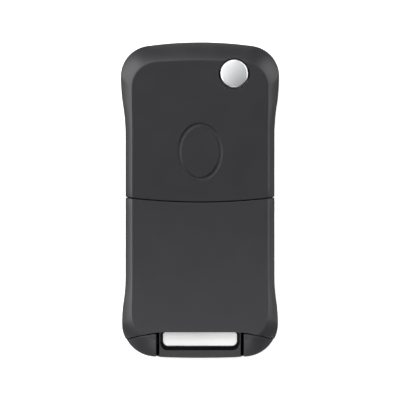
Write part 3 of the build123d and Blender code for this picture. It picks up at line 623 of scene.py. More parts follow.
def stepped(row, s, heights, places=(), radius=STEP_SOFT):
    """Lower edge of a wall whose height changes at places along it, and the radii of its corners."""
    ends = [-EDGE, *places, s[-1] + EDGE]
    legs = [(end, z) for *span, z in zip(ends, ends[1:], heights) for end in span]
    corners = [(ends[0], row[0, 2]), *legs, (ends[-1], row[-1, 2])]
    return corners, [SOFT, *[radius] * (2 * len(places)), SOFT]


def upper_path(row, s):
    """The upper section's parting line, then the window of the carrier and the slot of the blade."""
    left = first_crossing(row[:, 0] - WINDOW_LEFT, s)
    foot = first_crossing(np.where(s > left, row[:, 1] - WINDOW_FOOT, 1.0), s)
    return stepped(row, s, (PARTING, CHAMBER_HIGH, SLOT_HIGH), (left, foot))


def slotted_path(row, s):
    """The slot's lower end on the right of the lower section, then the parting line."""
    foot = first_crossing(row[:, 1] - SLOT_FOOT, s)
    return stepped(row, s, (SLOT_HIGH, PARTING), (foot,), WIDE_SOFT)


def plain_path(low):
    """A wall that ends at one height."""
    return lambda row, s: stepped(row, s, (low,))


print("blade slot ends at y =", round(SLOT_FOOT, 2))


# %% Outsides of the mouldings
def upper_skin(holes=(), bite=None):
    """The upper section's outside: one strip over the crown, and the split's arc back across the panel."""
    half = side_grid(past_arc(SPLIT_CENTRE, UPPER_CUT), still=(5, 8))
    grid = np.concatenate([half * MIRROR, half[:, ::-1][:, 1:]], 1)
    join = arc_join(grid[0, -1, 0], grid[0, 0, 0], SPLIT_CENTRE, UPPER_CUT, -1, 1)
    return skin([(grid, upper_path, OUT_OF_SPLIT, OUT_OF_SPLIT)], [join], holes, bite=bite)


def lower_skin(cut, right_end, left_start, foot_join, holes=()):
    """The outside of a lower half: a strip on each side, the joint at the foot and the split's arc."""
    side = side_grid(cut, past_arc(SPLIT_CENTRE, LOWER_CUT), still=(2, 4))
    strips = [(side[:, ::-1], slotted_path, INTO_SPLIT, right_end),
              (side * MIRROR, plain_path(PARTING), left_start, INTO_SPLIT)]
    split = arc_join(-side[0, -1, 0], side[0, -1, 0], SPLIT_CENTRE, LOWER_CUT, -1, -1)
    return skin(strips, [foot_join(side[0, 0]), split], holes)


def cover_foot(start):
    """The cover's foot on the panel: the joint's arc on each side of a straight middle."""
    straight = FOOT_JOINT + EDGE
    kink = math.sqrt(COVER_FOOT**2 - (straight - FOOT_CENTRE) ** 2)
    points, out = arc_join(start[0], kink, FOOT_CENTRE, COVER_FOOT, 1, -1, 14)
    middle = np.c_[np.linspace(kink, -kink, 30), np.full(30, straight)]
    down = tiled((0.0, -1.0, 0.0), middle)
    return joined([(points, out), (middle, down), (points[::-1] * (-1, 1), out[::-1] * MIRROR)])


def notch_foot(start):
    """The lower front's foot on the panel: up one side of the notch, across its head and down again."""
    low = start[1]
    corners = [(NOTCH, low), (NOTCH, FOOT_JOINT), (-NOTCH, FOOT_JOINT), (-NOTCH, low)]
    path, beside = rounded_path(corners, [WIDE_SOFT] * 2)
    return (path + EDGE * beside)[1:-1], lift(-beside)[1:-1]


def lobe_skin():
    """The right lobe's outside: a strip from the foot's joint round the corner to the notch."""
    side = side_grid(past_notch, past_arc(FOOT_CENTRE, LOBE_HEAD), inset=LOBE_STEP)
    strip = (side[:, ::-1], plain_path(PARTING - LOBE_GAP), away_from(FOOT_CENTRE, 1), to_side(-1.0))
    inner, outer = side[0, 0], side[0, -1]
    head = FOOT_CENTRE + math.sqrt(LOBE_HEAD**2 - inner[0] ** 2)
    rise = np.c_[np.full(8, inner[0]), np.linspace(inner[1], head, 9)[1:]]
    arch = arc_join(inner[0], outer[0], FOOT_CENTRE, LOBE_HEAD, 1, 1, 16)
    join = joined([(rise, to_side(-1.0)(rise)), arch])
    return skin([strip], [join], height=THICKNESS - LOBE_STEP)


FRONT = ((1, 1, -1), (0, 0, THICKNESS))
KEYS = {}
for name in ("lock_key", "unlock_key", "boot_key"):
    low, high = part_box(name)
    KEYS[name] = [v / MM for v in (low + high) / 2]
KEY_WINDOW = (15.3, 6.1, 2.35)
LENS = (-4.2, -5.0, 1.05)
GROOVE = (0.0, 12.0, 5.6, 7.2, 0.9, 0.35)
# The bore's mouth is 0.11 mm wider all round than the CAD's bore, and its skirt leans in to meet it. The
# bevel gives up seven rows near it to the panel's sheet, which goes round the mouth.
BORE, BORE_EDGE, BORE_LEAN = 3.86, 0.05, 0.11
BITE = (*PIVOT, BORE + 0.4, 7)
bore = round_hole(*PIVOT, BORE, surface=on_back, edge=BORE_EDGE, lean=BORE_LEAN)
front_holes = [window(x, y, *KEY_WINDOW) for x, y, _ in KEYS.values()] + [round_hole(*LENS, count=36)]
into_foot = away_from(FOOT_CENTRE, -1)
lobes = lobe_skin()
lower_front = lower_skin(past_notch, to_side(-1.0), to_side(1.0), notch_foot, front_holes)
skins = {
    "upper_back_shell": upper_skin([bore, *oval_groove(*GROOVE)], bite=BITE),
    "upper_front_shell": mirrored(upper_skin(), *FRONT),
    "lower_back_cover": lower_skin(past_arc(FOOT_CENTRE, COVER_FOOT), into_foot, into_foot, cover_foot),
    "lower_front_shell": [*mirrored(lower_front, *FRONT), *lobes, *mirrored(lobes, MIRROR)],
}
print({name: sum(len(p.faces) for p in patches) for name, patches in skins.items()})

# %% [markdown]
# ## Insides of the mouldings
# Walls, ribs, bearings and bosses are already right in the CAD frame. A copy of each node's triangles is
# merged, the triangles of its outside are taken off, and the edge that is left is drawn back under the
# new skin. One mesh then holds the fine outside and the true inside.

# %% Insides
SHARES = np.linspace(0, 1, 81)
CAD_BEVEL = 3.3
CAD_SECTION = ([0.0, 0.23, 0.58, 1.0], [0.0, 0.5, 0.85, 1.0])
TABLES = {}
for inset in (0.0, LOBE_STEP):
    TABLES[inset] = np.array([half_outline(share, inset, CAD_OUTLINE) for share in SHARES])
ON_PLANE, ON_BEVEL = 0.01, 0.12
END_BAND, GROOVE_BAND, GROOVE_MARGIN = 0.2, 0.4, 0.3
LEVEL_NORMAL, DRAWN_IN = 0.999, 0.4


def merged(name):
    """A node's triangles in millimetres, with shared corners counted once."""
    mesh = nodes[name].data
    place = np.empty(len(mesh.vertices) * 3, np.float32)
    mesh.vertices.foreach_get("co", place)
    corners = np.empty(len(mesh.loops), np.int32)
    mesh.loops.foreach_get("vertex_index", corners)
    points, index = np.unique(np.round(place.reshape(-1, 3) / MM, 4), axis=0, return_inverse=True)
    faces = index.reshape(-1)[corners].reshape(-1, 3)
    return points, faces[(faces != np.roll(faces, 1, 1)).all(1)]


def off_outline(points, inset):
    """How far each point is in plan from the outline that the CAD bevel has at its height."""
    height = np.maximum(points[:, 2], THICKNESS - points[:, 2])
    drop = np.clip((THICKNESS - inset - height) / CAD_BEVEL, 0, 1)
    share = np.interp(drop, *CAD_SECTION)
    outline = TABLES[inset][np.round(share * (len(SHARES) - 1)).astype(int)]
    place = np.c_[np.abs(points[:, 0]), points[:, 1]][:, None]
    start, along = outline[:, :-1], np.diff(outline, axis=1)
    u = np.clip(((place - start) * along).sum(-1) / (along**2).sum(-1), 0, 1)
    return np.hypot(*np.moveaxis(place - start - u[..., None] * along, -1, 0)).min(1)


def inside(name):
    """The CAD node without the triangles of its outside, its cut edge drawn in under the new skin."""
    points, faces = merged(name)
    corners = points[faces]
    area = np.cross(corners[:, 1] - corners[:, 0], corners[:, 2] - corners[:, 0])
    middle = corners.mean(1)

    def on_skin(places):
        off, z = off_outline(places, 0.0), places[:, 2]
        level = (z > THICKNESS - ON_PLANE) | (z < ON_PLANE)
        if name == "lower_front_shell":
            off = np.where(z > PARTING - ON_PLANE, off_outline(places, LOBE_STEP), off)
            level |= z > THICKNESS - LOBE_STEP - ON_PLANE
        return level | (off < ON_BEVEL)

    level_face = np.abs(unit(area)[:, 2]) > LEVEL_NORMAL
    at_end = (middle[:, 2] < END_BAND) | (middle[:, 2] > THICKNESS - END_BAND)
    outside = on_skin(points)[faces].all(1) & on_skin(middle) & (~level_face | at_end)
    if name == "upper_back_shell":
        x, y, a, b, *_ = GROOVE
        from_oval = (middle[:, :2] - (x, y)) / (a + GROOVE_MARGIN, b + GROOVE_MARGIN)
        outside |= (middle[:, 2] > THICKNESS - GROOVE_BAND) & ((from_oval**2).sum(1) < 1)
    drawn = np.zeros_like(points)
    np.add.at(drawn, faces[outside].ravel(), np.repeat(area[outside], 3, 0))
    points = points - unit(drawn) * DRAWN_IN
    used, index = np.unique(faces[~outside], return_inverse=True)
    rest = index.reshape(-1, 3)
    print(name, "keeps", len(rest), "of", len(faces), "CAD triangles")
    return Patch(points[used], np.zeros((len(used), 3)), rest, smooth=False)


for name, patches in skins.items():
    patches.append(inside(name))

# %% [markdown]
# ## From patches to objects
# Vertices that two patches share are merged once the mesh is filled, so smooth shading runs on from one
# patch to the next.

# %% Build objects
MERGED_WITHIN, LEAST_EDGE = 0.002, 0.0005
LEVEL = math.radians(0.5)


def build(name, patches, body, material, stands_for=(), flatten=False):
    """One object from patches given in millimetres, riding on a CAD body. Flattening joins level faces."""
    faces, smooth, start = [], [], 0
    for p in patches:
        faces += (p.faces + start).tolist()
        smooth += np.broadcast_to(p.smooth, len(p.faces)).tolist()
        start += len(p.points)
    mesh = bpy.data.meshes.new(name)
    mesh.from_pydata((np.concatenate([p.points for p in patches]) * MM).tolist(), [], faces)
    mesh.polygons.foreach_set("use_smooth", smooth)
    work = bmesh.new()
    work.from_mesh(mesh)
    bmesh.ops.remove_doubles(work, verts=work.verts, dist=MERGED_WITHIN * MM)
    bmesh.ops.dissolve_degenerate(work, edges=work.edges, dist=LEAST_EDGE * MM)
    if flatten:
        bmesh.ops.dissolve_limit(work, angle_limit=LEVEL, verts=work.verts, edges=work.edges)
    work.to_mesh(mesh)
    work.free()
    mesh.materials.append(material)
    made = bpy.data.objects.new(name, mesh)
    bpy.context.scene.collection.objects.link(made)
    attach(made, body)
    if stands_for:
        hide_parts(*stands_for)
    return made


print("vertices are merged within mm:", MERGED_WITHIN)

# %% [markdown]
# ## Finishes
# Every material here is a Principled shader whose colour and roughness drift a little over the surface,
# with a fine grain in its bump. The grain is measured in millimetres from the real process: spark-eroded
# mould steel, brushed or tumbled metal, moulded rubber. Object coordinates keep it still when a part moves.

# %% Colours and nodes
DRIFT = (0.7, 1.3)
GRAIN_IN_FADE = 0.15


def srgb(code):
    """A hex colour as linear red, green and blue with full alpha. A channel c up to 0.04045 is c / 12.92,
    and above that ((c + 0.055) / 1.055) to the power 2.4."""
    c = np.array([int(code[i:i + 2], 16) for i in (1, 3, 5)]) / 255
    linear = np.where(c <= 0.04045, c / 12.92, ((c + 0.055) / 1.055) ** 2.4)
    return (*linear.tolist(), 1.0)


def node(tree, kind, feeds=None, **settings):
    """Add a shader node and give its outputs. Each feed is a value, or the output that drives it."""
    made = tree.nodes.new("ShaderNode" + kind)
    for key, value in settings.items():
        setattr(made, key, value)
    for key, value in (feeds or {}).items():
        if isinstance(value, bpy.types.NodeSocket):
            tree.links.new(value, made.inputs[key])
        else:
            made.inputs[key].default_value = value
    return made.outputs


def worked_out(tree, operation, first, second):
    """Two values added, multiplied or compared."""
    return node(tree, "Math", {0: first, 1: second}, operation=operation)[0]


def mixed(tree, share, first, second):
    """A colour between two others."""
    return node(tree, "Mix", {"Factor": share, 6: first, 7: second}, data_type="RGBA")[2]


def ranged(tree, value, low, high, to_low=0.0, to_high=1.0):
    """A value mapped from one range to another and kept within it."""
    feeds = {"Value": value, "From Min": low, "From Max": high, "To Min": to_low, "To Max": to_high}
    return node(tree, "MapRange", feeds)["Result"]


def finish(name, dark, light, roughness, grain, depth, stretch=(1, 1, 1), patch=7.0, fade=None, **sockets):
    """A material between two colours and two roughnesses.

    Patches of the given size and the grain, both in mm, mix the colours; the grain alone makes the bump.
    A stretch below one draws the grain out along that axis, as brushing does. A fade gives the two places
    along Y, in mm, between which the colour is painted from the dark one to the light one, as painted
    light."""
    material = bpy.data.materials.new(name)
    material.use_nodes = True
    tree = material.node_tree
    shader = tree.nodes["Principled BSDF"]
    place = node(tree, "TexCoord")["Object"]
    drawn = node(tree, "Mapping", {"Vector": place, "Scale": stretch})["Vector"]
    cloud = node(tree, "TexNoise", {"Vector": place, "Scale": 1 / (patch * MM), "Detail": 2.0})["Fac"]
    fine = node(tree, "TexNoise", {"Vector": drawn, "Scale": 1 / (grain * MM), "Detail": 3.0})["Fac"]
    both = worked_out(tree, "ADD", cloud, fine)
    share = ranged(tree, both, *DRIFT)
    # The fade is painted light: the colour grows paler along Y and stands in for light that lifts the foot
    # end.
    if fade:
        along = node(tree, "SeparateXYZ", {0: place})["Y"]
        painted_light_share = ranged(tree, along, fade[0] * MM, fade[1] * MM)
        share = node(tree, "Mix", {"Factor": GRAIN_IN_FADE, 2: painted_light_share, 3: share})[0]
    driven = {
        "Base Color": mixed(tree, share, srgb(dark), srgb(light)),
        "Roughness": ranged(tree, both, *DRIFT, *roughness),
        "Normal": node(tree, "Bump", {"Height": fine, "Distance": depth * MM, "Strength": 1.0})["Normal"],
    }
    for socket, value in driven.items():
        tree.links.new(value, shader.inputs[socket])
    for socket, value in sockets.items():
        shader.inputs[socket.replace("_", " ")].default_value = value
    return material


print("white is", srgb("#FFFFFF"))

# %% Plastics and rubber
# Spark-eroded ABS: matt and nearly black, with a grain that only breaks up the highlight. The real grain
# is about 0.05 mm; it is drawn four times as coarse, so that it shows.
ERODED = {"roughness": (0.3, 0.36), "grain": 0.22, "depth": 0.006, "IOR": 1.54, "Specular_IOR_Level": 0.32}
abs_upper = finish("abs_spark_eroded_flip_section", "#1A1A1D", "#1E1E21", **ERODED)
# The remote section comes from another mould; its colour grows paler towards the foot as painted light.
abs_lower = finish("abs_spark_eroded_remote_section_painted_light", "#1E1E21", "#2D2D30", **ERODED, fade=(0.0, -42.0))
# Polished ABS: a mirror-like violet black that picks up soft bright spots.
abs_polished = finish("abs_polished_loop", "#0E0E11", "#141417", (0.12, 0.24), 0.5, 0.002, patch=3.5,
                      IOR=1.54, Specular_IOR_Level=0.9)
# Glass-filled nylon: black, with pale flecks of fibre that make it look dry.
nylon = finish("nylon_glass_filled_carrier", "#1D1D1E", "#272728", (0.48, 0.62), 0.35, 0.012, patch=2.5,
               IOR=1.53)
# Key caps: ABS with a soft-touch lacquer, duller and warmer than the case.
key_lacquer = finish("abs_soft_touch_keys", "#1E1D1D", "#242323", (0.58, 0.68), 0.3, 0.004, IOR=1.5)
# Pad-printed ink: off-white, slightly satin, thin enough to show the cap's curve.
ink = finish("ink_pad_printed", "#D9D9D6", "#E4E4E1", (0.4, 0.5), 0.25, 0.003, IOR=1.5)
# Moulded silicone: grey, matt, with a little dust in its pores.
silicone = finish("silicone_moulded_mat", "#6E7072", "#7C7E80", (0.6, 0.75), 0.4, 0.01, IOR=1.41)
# Acrylic tinted dark red, so that the lamp behind it is seen only when lit.
acrylic = finish("acrylic_tinted_lens", "#5A0C0C", "#6B1010", (0.05, 0.1), 0.8, 0.001, IOR=1.49,
                 Transmission_Weight=0.6)
print("plastics made")


# %% Metals
def metal(name, dark, light, roughness, grain, depth, stretch=(1, 1, 1)):
    """A finish that mirrors in its own colour."""
    return finish(name, dark, light, roughness, grain, depth, stretch, Metallic=1.0)


# Satin chrome on a zinc die casting: pale silver, its grain from tumbling before it was plated.
satin_chrome = metal("satin_chrome_on_zinc", "#D6D7D9", "#E2E3E4", (0.3, 0.38), 0.3, 0.002)
# Nickel-plated steel, brushed along the blade: warm grey, highlights drawn out across the brushing.
brushed_nickel = metal("nickel_brushed_blade", "#B3AFA6", "#C6C2B8", (0.22, 0.36), 0.12, 0.004,
                       (1, 0.04, 1))
# Hard-drawn spring wire: dark, with drawing lines too fine to see, so the grain is kept even.
drawn_steel = metal("spring_steel_drawn", "#6F6E6C", "#838280", (0.3, 0.42), 0.2, 0.002)
# Rolled steel sheet for the anchor and the slit pin: mid grey, drawn out in the direction of rolling.
rolled_steel = metal("steel_rolled", "#8C8B88", "#A2A19D", (0.3, 0.4), 0.15, 0.003, (0.1, 1, 1))
# Black zinc on the screws: blue-black with rubbed high spots.
black_zinc = metal("zinc_black_passivated", "#2B2D31", "#44474C", (0.32, 0.48), 0.3, 0.004)
# Tin-bronze strip, nickel flashed: pale yellow grey.
bronze_strip = metal("bronze_nickel_flashed", "#BDB59C", "#CFC8B0", (0.25, 0.34), 0.2, 0.002, (1, 0.15, 1))
print("materials in all:", len(bpy.data.materials))

# %% [markdown]
# ## Mouldings, and the CAD pieces that stay
# Each moulding is built in the plastic of its section. The small pieces inside the case are right as the
# CAD has them, so they only get a finish.

# %% Give out the finishes
for name, patches in skins.items():
    moulding = name.replace("shell", "moulding").replace("cover", "cover_moulding")
    plastic = abs_upper if name.startswith("upper") else abs_lower
    made = build(moulding, patches, "case", plastic, [name])
    print(made.name, "has", len(made.data.polygons), "faces")
KEPT = {
    "blade_roll_pin": rolled_steel, "spring_anchor": rolled_steel, "transponder_cover": nylon,
    "keypad_mat": silicone, "coupling_screws": black_zinc, "rim_contact": bronze_strip,
    "face_contact": bronze_strip,
}
for name, material in KEPT.items():
    for place in nodes[name].material_slots:
        place.material = material
print("CAD pieces with a new finish:", len(KEPT))

# %% [markdown]
# ## Sections and what carries them
# Turned and moulded pieces are one section carried round: round an axis for the button and the lens, and
# round a window's outline for a key cap. Corners of a section get a parabola that touches both legs, which
# is close to the small radius that tooling leaves.

# %% Rounded sections
KEEPS_FLAT = 1.3


def softened(corners, radii):
    """The path through corners with each inner one rounded.

    A corner p between a on one leg and b on the other becomes (1-u)^2 a + 2u(1-u) p + u^2 b, where a and b
    are the given radius from p. A point just before and just after keeps the legs flat in the shading."""
    corners = np.asarray(corners, float)
    u = np.linspace(0, 1, BEND_POINTS)[:, None]
    path = [corners[:1]]
    for before, p, after, r in zip(corners, corners[1:], corners[2:], radii):
        a, b = unit(before - p), unit(after - p)
        bend = (1 - u) ** 2 * (p + r * a) + 2 * u * (1 - u) * p + u**2 * (p + r * b)
        path += [(p + KEEPS_FLAT * r * a)[None], bend, (p + KEEPS_FLAT * r * b)[None]]
    return np.concatenate(path + [corners[-1:]])


def left_of(path):
    """Unit normals on the left of a path, from the mean direction at each point."""
    return unit(-right_of(np.gradient(path, axis=0)))


def revolved(section, x, y, count=96):
    """A section of (radius, height) turned about the upright axis through x, y, outside on its left.

    The point at angle f is (x + r cos f, y + r sin f, h)."""
    ring = circle(full_turn(count))
    grid = np.array([lift(radius * ring + (x, y), z) for radius, z in section])
    facing = np.array([lift(out * ring, rise) for out, rise in left_of(section)])
    return grid_patch(grid, facing, closed=True)


def block(plan, low, high):
    """A closed prism over a plan that runs counter-clockwise."""
    flat = lift(-left_of(np.concatenate([plan[-1:], plan, plan[:1]]))[1:-1])
    rows = np.array([lift(plan, high), lift(plan, low)])
    side = grid_patch(rows, np.array([flat] * 2), closed=True, smooth=False)
    points, faces = sheet([plan])
    ends = ((high, UP), (low, -UP))
    return [side, *[turned_out(lift(points, z), tiled(up, points), faces, smooth=False) for z, up in ends]]


print("section tools ready")

# %% [markdown]
# ## Release button
# A zinc casting, satin chromed. Its low dome rolls over into a rounded rim, which mirrors the low soft
# boxes as the bright ring in the photograph. Below the deck are the flange with its two lugs and the shank
# that the spring winds round.

# %% Button
DECK, CROWN, RIM_RISE = THICKNESS + 0.12, 0.36, 0.03
BUTTON, DOME_REACH, FLANGE, SHANK = 3.48, 2.9, 4.2, 1.9
FLANGE_TOP, FLANGE_FOOT, SHANK_FOOT = 11.9, 10.6, 6.0
LUG_REACH, LUG_ROOT, LUG_HALF = 5.6, 3.0, 1.2
r = np.linspace(0, DOME_REACH, 16)
dome = np.c_[r, DECK + CROWN * (1 - (r / BUTTON) ** 2)]
rim_line = softened(
    [dome[-1], (BUTTON, DECK + RIM_RISE), (BUTTON, FLANGE_TOP), (FLANGE, FLANGE_TOP),
     (FLANGE, FLANGE_FOOT), (SHANK, FLANGE_FOOT), (SHANK, SHANK_FOOT), (0, SHANK_FOOT)],
    [0.4, 0.1, 0.15, 0.15, 0.1, 0.25],
)
lug_angle = math.asin(LUG_HALF / LUG_REACH)
tip = LUG_REACH * circle(np.linspace(-lug_angle, lug_angle, 9))
lug = np.concatenate([[[LUG_ROOT, -LUG_HALF]], tip, [[LUG_ROOT, LUG_HALF]]])
lugs = [p for side in (1, -1) for p in block(side * lug + PIVOT, FLANGE_FOOT, FLANGE_TOP)]
turned = revolved(np.concatenate([dome, rim_line[1:]]), *PIVOT, count=128)
button = build("release_button_cap", [turned, *lugs], "release_button", satin_chrome,
               ["release_button"])
print("button top at z =", round(float(dome[0, 1]), 2), "faces:", len(button.data.polygons))

# %% [markdown]
# ## Pieces with cut or moulded edges
# The key ring's loop, the carrier and the blade have the right faces in the CAD. A copy of each is merged
# and its flat faces joined again, and a Bevel modifier rounds the edges, as tumbling or a mould's radius
# does. Hardened normals keep the flat faces flat.

# %% Softened copies
LOOP_HALF, FLANK_FOOT, FLANK_HEAD = 10.75, 0.2, -0.63
EYE_HALF, EYE_MOUTH, MOUTH_DRAWN = 9.0, 10.3, 0.37
TAB_START, TAB_SLOPE = 1, 0.2
ON_FLANK, ON_HEAD = 0.02, 0.05
SHARP = math.radians(30)


def with_soft_edges(name, new_name, width, body, material, reshape=lambda points: points):
    """A merged copy of a CAD node with every edge sharper than 30 degrees rounded to width mm."""
    points, faces = merged(name)
    patch = Patch(reshape(points), points * 0, faces, True)
    made = build(new_name, [patch], body, material, [name], flatten=True)
    made.data.set_sharp_from_angle(angle=SHARP)
    bevel = made.modifiers.new("edges", "BEVEL")
    bevel.width = width * MM
    bevel.segments = 3
    bevel.limit_method = "ANGLE"
    bevel.angle_limit = SHARP
    bevel.harden_normals = True
    return made


def tapered(points):
    """The loop's flanks draw in towards the back by a linear taper, its eye's chamfer narrows to match, and
    the tabs slope down outwards. The photograph shows this as the dark groove beside each lobe."""
    x, z = np.abs(points[:, 0]), points[:, 2]
    low, high = z.min(), z.max()
    flank = np.abs(x - LOOP_HALF) < ON_FLANK
    chamfer = (z > high - ON_HEAD) & (x > EYE_HALF) & ~flank
    x = np.where(flank, np.interp(z, [low, high], [LOOP_HALF + FLANK_FOOT, LOOP_HALF + FLANK_HEAD]), x)
    x = np.where(chamfer, np.interp(x, [EYE_HALF, EYE_MOUTH], [EYE_HALF, EYE_MOUTH - MOUTH_DRAWN]), x)
    z = np.where((x > LOOP_HALF + TAB_START) & (z > PARTING), PARTING - TAB_SLOPE, z)
    return np.c_[np.copysign(x, points[:, 0]), points[:, 1], z]


soft = [
    with_soft_edges("keyring_loop", "keyring_insert", 0.3, "case", abs_polished, tapered),
    with_soft_edges("blade_carrier", "swing_carrier", 0.15, "blade_arm", nylon),
    with_soft_edges("key_blade", "uncut_blade", 0.12, "blade_arm", brushed_nickel),
]
print("faces before bevelling:", {o.name: len(o.data.polygons) for o in soft})

# %% [markdown]
# ## Torsion spring
# A coil of round wire. The path is a helix and the section a circle that stays square to it. The button
# presses it together by its stroke.

# %% Spring
SPRING_RADIUS, WIRE, TURNS = 3.3, 0.7, 3.5


def capped(first, rows, last):
    """Rows of points with a row before and a row after, each of one point."""
    return np.concatenate([tiled(first, rows[0])[None], rows, tiled(last, rows[0])[None]])


low, high = (corner[2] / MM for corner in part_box("torsion_spring"))
t = np.linspace(0, 2 * math.pi * TURNS, int(TURNS * 40) + 1)
rise = (high - low - WIRE) / t[-1]
coil = lift(SPRING_RADIUS * circle(t) + PIVOT, low + WIRE / 2 + rise * t)
out = lift(circle(t))
ahead = unit(lift(-SPRING_RADIUS * right_of(circle(t)), rise))
f = full_turn(14)[None, :, None]
facing = np.cos(f) * out[:, None] + np.sin(f) * np.cross(ahead, out)[:, None]
tube = capped(coil[0], coil[:, None] + WIRE / 2 * facing, coil[-1])
wire = grid_patch(tube, capped(-ahead[0], facing, ahead[-1]), closed=True)
spring = build("throw_spring", [wire], "blade_arm", drawn_steel, ["torsion_spring"])
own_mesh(spring)
print("spring from z", round(low, 2), "to", round(high, 2))

# %% [markdown]
# ## Key caps and their signs
# Each cap is a low pillow in its window. Its section is carried round a rectangle with round corners that
# shrinks to a line in the middle. The signs are generic: a closed padlock, an open padlock and a boot lid.

# %% Caps
HALF = (7.5, 2.9)
CORNER = 2.2
CAP_EDGE, PILLOW, SHOULDER = 0.3, 0.26, 0.35
CAP_LIP, LIP_BACK, LIP_FACE = 0.6, 2.25, 1.65
INK = 0.02


def ring_at(inset, legs=8, bends=8):
    """A rectangle with round corners, drawn in by an inset, counter-clockwise, and its outward normals."""
    radius = max(CORNER - inset, 0)
    centres = (np.array(HALF) - inset - radius) * [(1, 1), (-1, 1), (-1, -1), (1, -1)]
    u = np.linspace(0, 1, legs + 2)[1:-1, None]
    parts = []
    for k, centre in enumerate(centres):
        n = circle(k * math.pi / 2 + np.linspace(0, math.pi / 2, bends))
        bend = n * radius + centre
        after = centres[(k + 1) % 4] + n[-1] * radius
        parts += [(bend, n), (bend[-1] + u * (after - bend[-1]), tiled(n[-1], u))]
    return joined(parts)


def pillow(inset):
    """Height of the cap's face at an inset: the edge's height, less a parabola towards the middle."""
    u = np.clip(inset / HALF[1], 0, 1)
    return CAP_EDGE - PILLOW * (1 - (1 - u) ** 2)


def cap(x, y):
    """The cap: from the middle of its back, round the lip and up the wall, to the middle of its face."""
    wall_line = softened(
        [(-HALF[1], LIP_BACK), (CAP_LIP, LIP_BACK), (CAP_LIP, LIP_FACE), (0.0, LIP_FACE), (0.0, CAP_EDGE),
         (-SHOULDER, pillow(SHOULDER))],
        [0.08, 0.08, 0.08, 0.2],
    )
    inner = np.linspace(0.5, HALF[1], 12)
    line = np.concatenate([wall_line, np.c_[-inner, pillow(inner)]])
    rings = [ring_at(-reach) for reach in line[:, 0]]
    grid = np.array([lift(ring + (x, y), z) for (ring, _), z in zip(rings, line[:, 1])])
    facing = np.array([lift(out * n, rise) for (_, n), (out, rise) in zip(rings, left_of(line))])
    return grid_patch(grid, facing, closed=True)


def rounded(corners, radius):
    """A closed outline with every corner rounded."""
    return softened([corners[-1], *corners, corners[0]], [radius] * len(corners))[1:-1]


def bow(y, foot_left, foot_right, outer=1.1, inner=0.68):
    """A padlock's shackle: a half ring with a leg down on each side."""
    ring = circle(np.linspace(0, math.pi, 15))
    left = [(-outer, foot_left), (-inner, foot_left)]
    loop = [[(outer, foot_right)], outer * ring, left, inner * ring[::-1], [(inner, foot_right)]]
    return np.concatenate(loop) + (0, y)


def disc(x, y, radius, start=0.0, turn=2 * math.pi):
    """Points round a circle, from a start angle through a turn, without the last."""
    return radius * circle(start + np.linspace(0, turn, 24, endpoint=False)) + (x, y)


def printed(loops, x, y):
    """A sign's shape laid on the cap, a little proud of it, and mirrored, because it is read from below."""
    points, faces = sheet([np.multiply(loop, (-1, 1)) for loop in loops])
    inset = np.min(np.array(HALF) - np.abs(points), 1)
    return turned_out(lift(points + (x, y), pillow(inset) - INK), tiled(-UP, points), faces)


WHEELS, WHEEL_Y = (-2.0, 2.0), -0.85
padlock = [rounded([(-1.45, -1.85), (1.45, -1.85), (1.45, 0.05), (-1.45, 0.05)], 0.3), disc(0, -0.9, 0.3)]
roof = softened(
    [(3.5, WHEEL_Y), (3.5, -0.1), (1.9, 0.3), (0.8, 1.25), (-1.5, 1.25), (-2.4, 0.45), (-3.5, 0.35),
     (-3.5, WHEEL_Y)],
    [0.35, 0.3, 0.3, 0.3, 0.2, 0.2],
)
car = np.concatenate([roof[1:], *[disc(x, WHEEL_Y, 0.74, math.pi, -math.pi) for x in WHEELS], roof[:1]])
boot_lid = [(-2.62, 0.62), (-2.38, 0.72), (-2.95, 1.95), (-3.25, 1.85)]
SIGNS = {
    "lock_key": [padlock, [bow(0.25, -0.2, -0.2)]],
    "unlock_key": [padlock, [bow(0.75, -0.7, -0.15)]],
    "boot_key": [[car], [boot_lid], *[[disc(x, WHEEL_Y, 0.52)] for x in WHEELS]],
}
for name, (x, y, _) in KEYS.items():
    build(name + "_cap", [cap(x, y)], name, key_lacquer, [name])
    build(name + "_sign", [printed(loops, x, y) for loops in SIGNS[name]], name, ink)
print("key caps:", len(KEYS))

# %% [markdown]
# ## Indicator window
# A small acrylic plug with a domed face, held by its flange behind the front wall.

# %% Lens
FACE, BODY, RIM = 0.92, 1.0, 1.6
FLANGE_FACE, FACE_EDGE, FACE_TOP, DOME = 1.6, 0.25, 0.13, 0.12
u = np.linspace(1, 0, 8)[1:, None]
lens_face = np.concatenate([u * FACE, FACE_TOP + DOME * u**2], 1)
lens_line = softened(
    [(0, LIP_BACK), (RIM, LIP_BACK), (RIM, FLANGE_FACE), (BODY, FLANGE_FACE), (BODY, FACE_EDGE),
     (FACE, FACE_EDGE)],
    [0.08, 0.08, 0.05, 0.03],
)
plug = revolved(np.concatenate([lens_line, lens_face]), *LENS[:2], 48)
build("indicator_window", [plug], "case", acrylic, ["indicator_lens"])
print("lens face at z =", round(float(lens_face[-1, 1]), 2))

# %% [markdown]
# ## Camera
# The photograph looks straight down from far away, so nothing of the sides shows. The camera stands 1.2 m
# above the widest line of the case and sees a field 99.4 mm wide there, which is a little under 0.25 mm for
# each of the 400 pixels.

# %% Camera
DISTANCE, FIELD, OFFSET = 1.2, 0.0994, 0.00005
scene = bpy.context.scene
scene.view_settings.view_transform = "Standard"
camera = bpy.data.objects.new("camera", bpy.data.cameras.new("camera"))
scene.collection.objects.link(camera)
scene.camera = camera
camera.location = (0.0, OFFSET, DISTANCE + (THICKNESS - BEVEL) * MM)
camera.data.sensor_width = 36
camera.data.lens = camera.data.sensor_width * DISTANCE / FIELD
camera.data.clip_end = 20
print("lens in mm:", round(camera.data.lens))

# %% [markdown]
# ## Studio
# Soft boxes stand all round: high ones draw the light line along the crease, and low ones light the outer
# part of the bevels. The strongest are on the left, as in the photograph. A small one at the foot lifts the
# remote section. The overhead box lights the floor and casts the short shadow; it is hidden from gloss, or
# the button would show a spot. The world is brighter towards the top left, for the button's shade, and it
# dims towards the horizon, which is white like the floor.

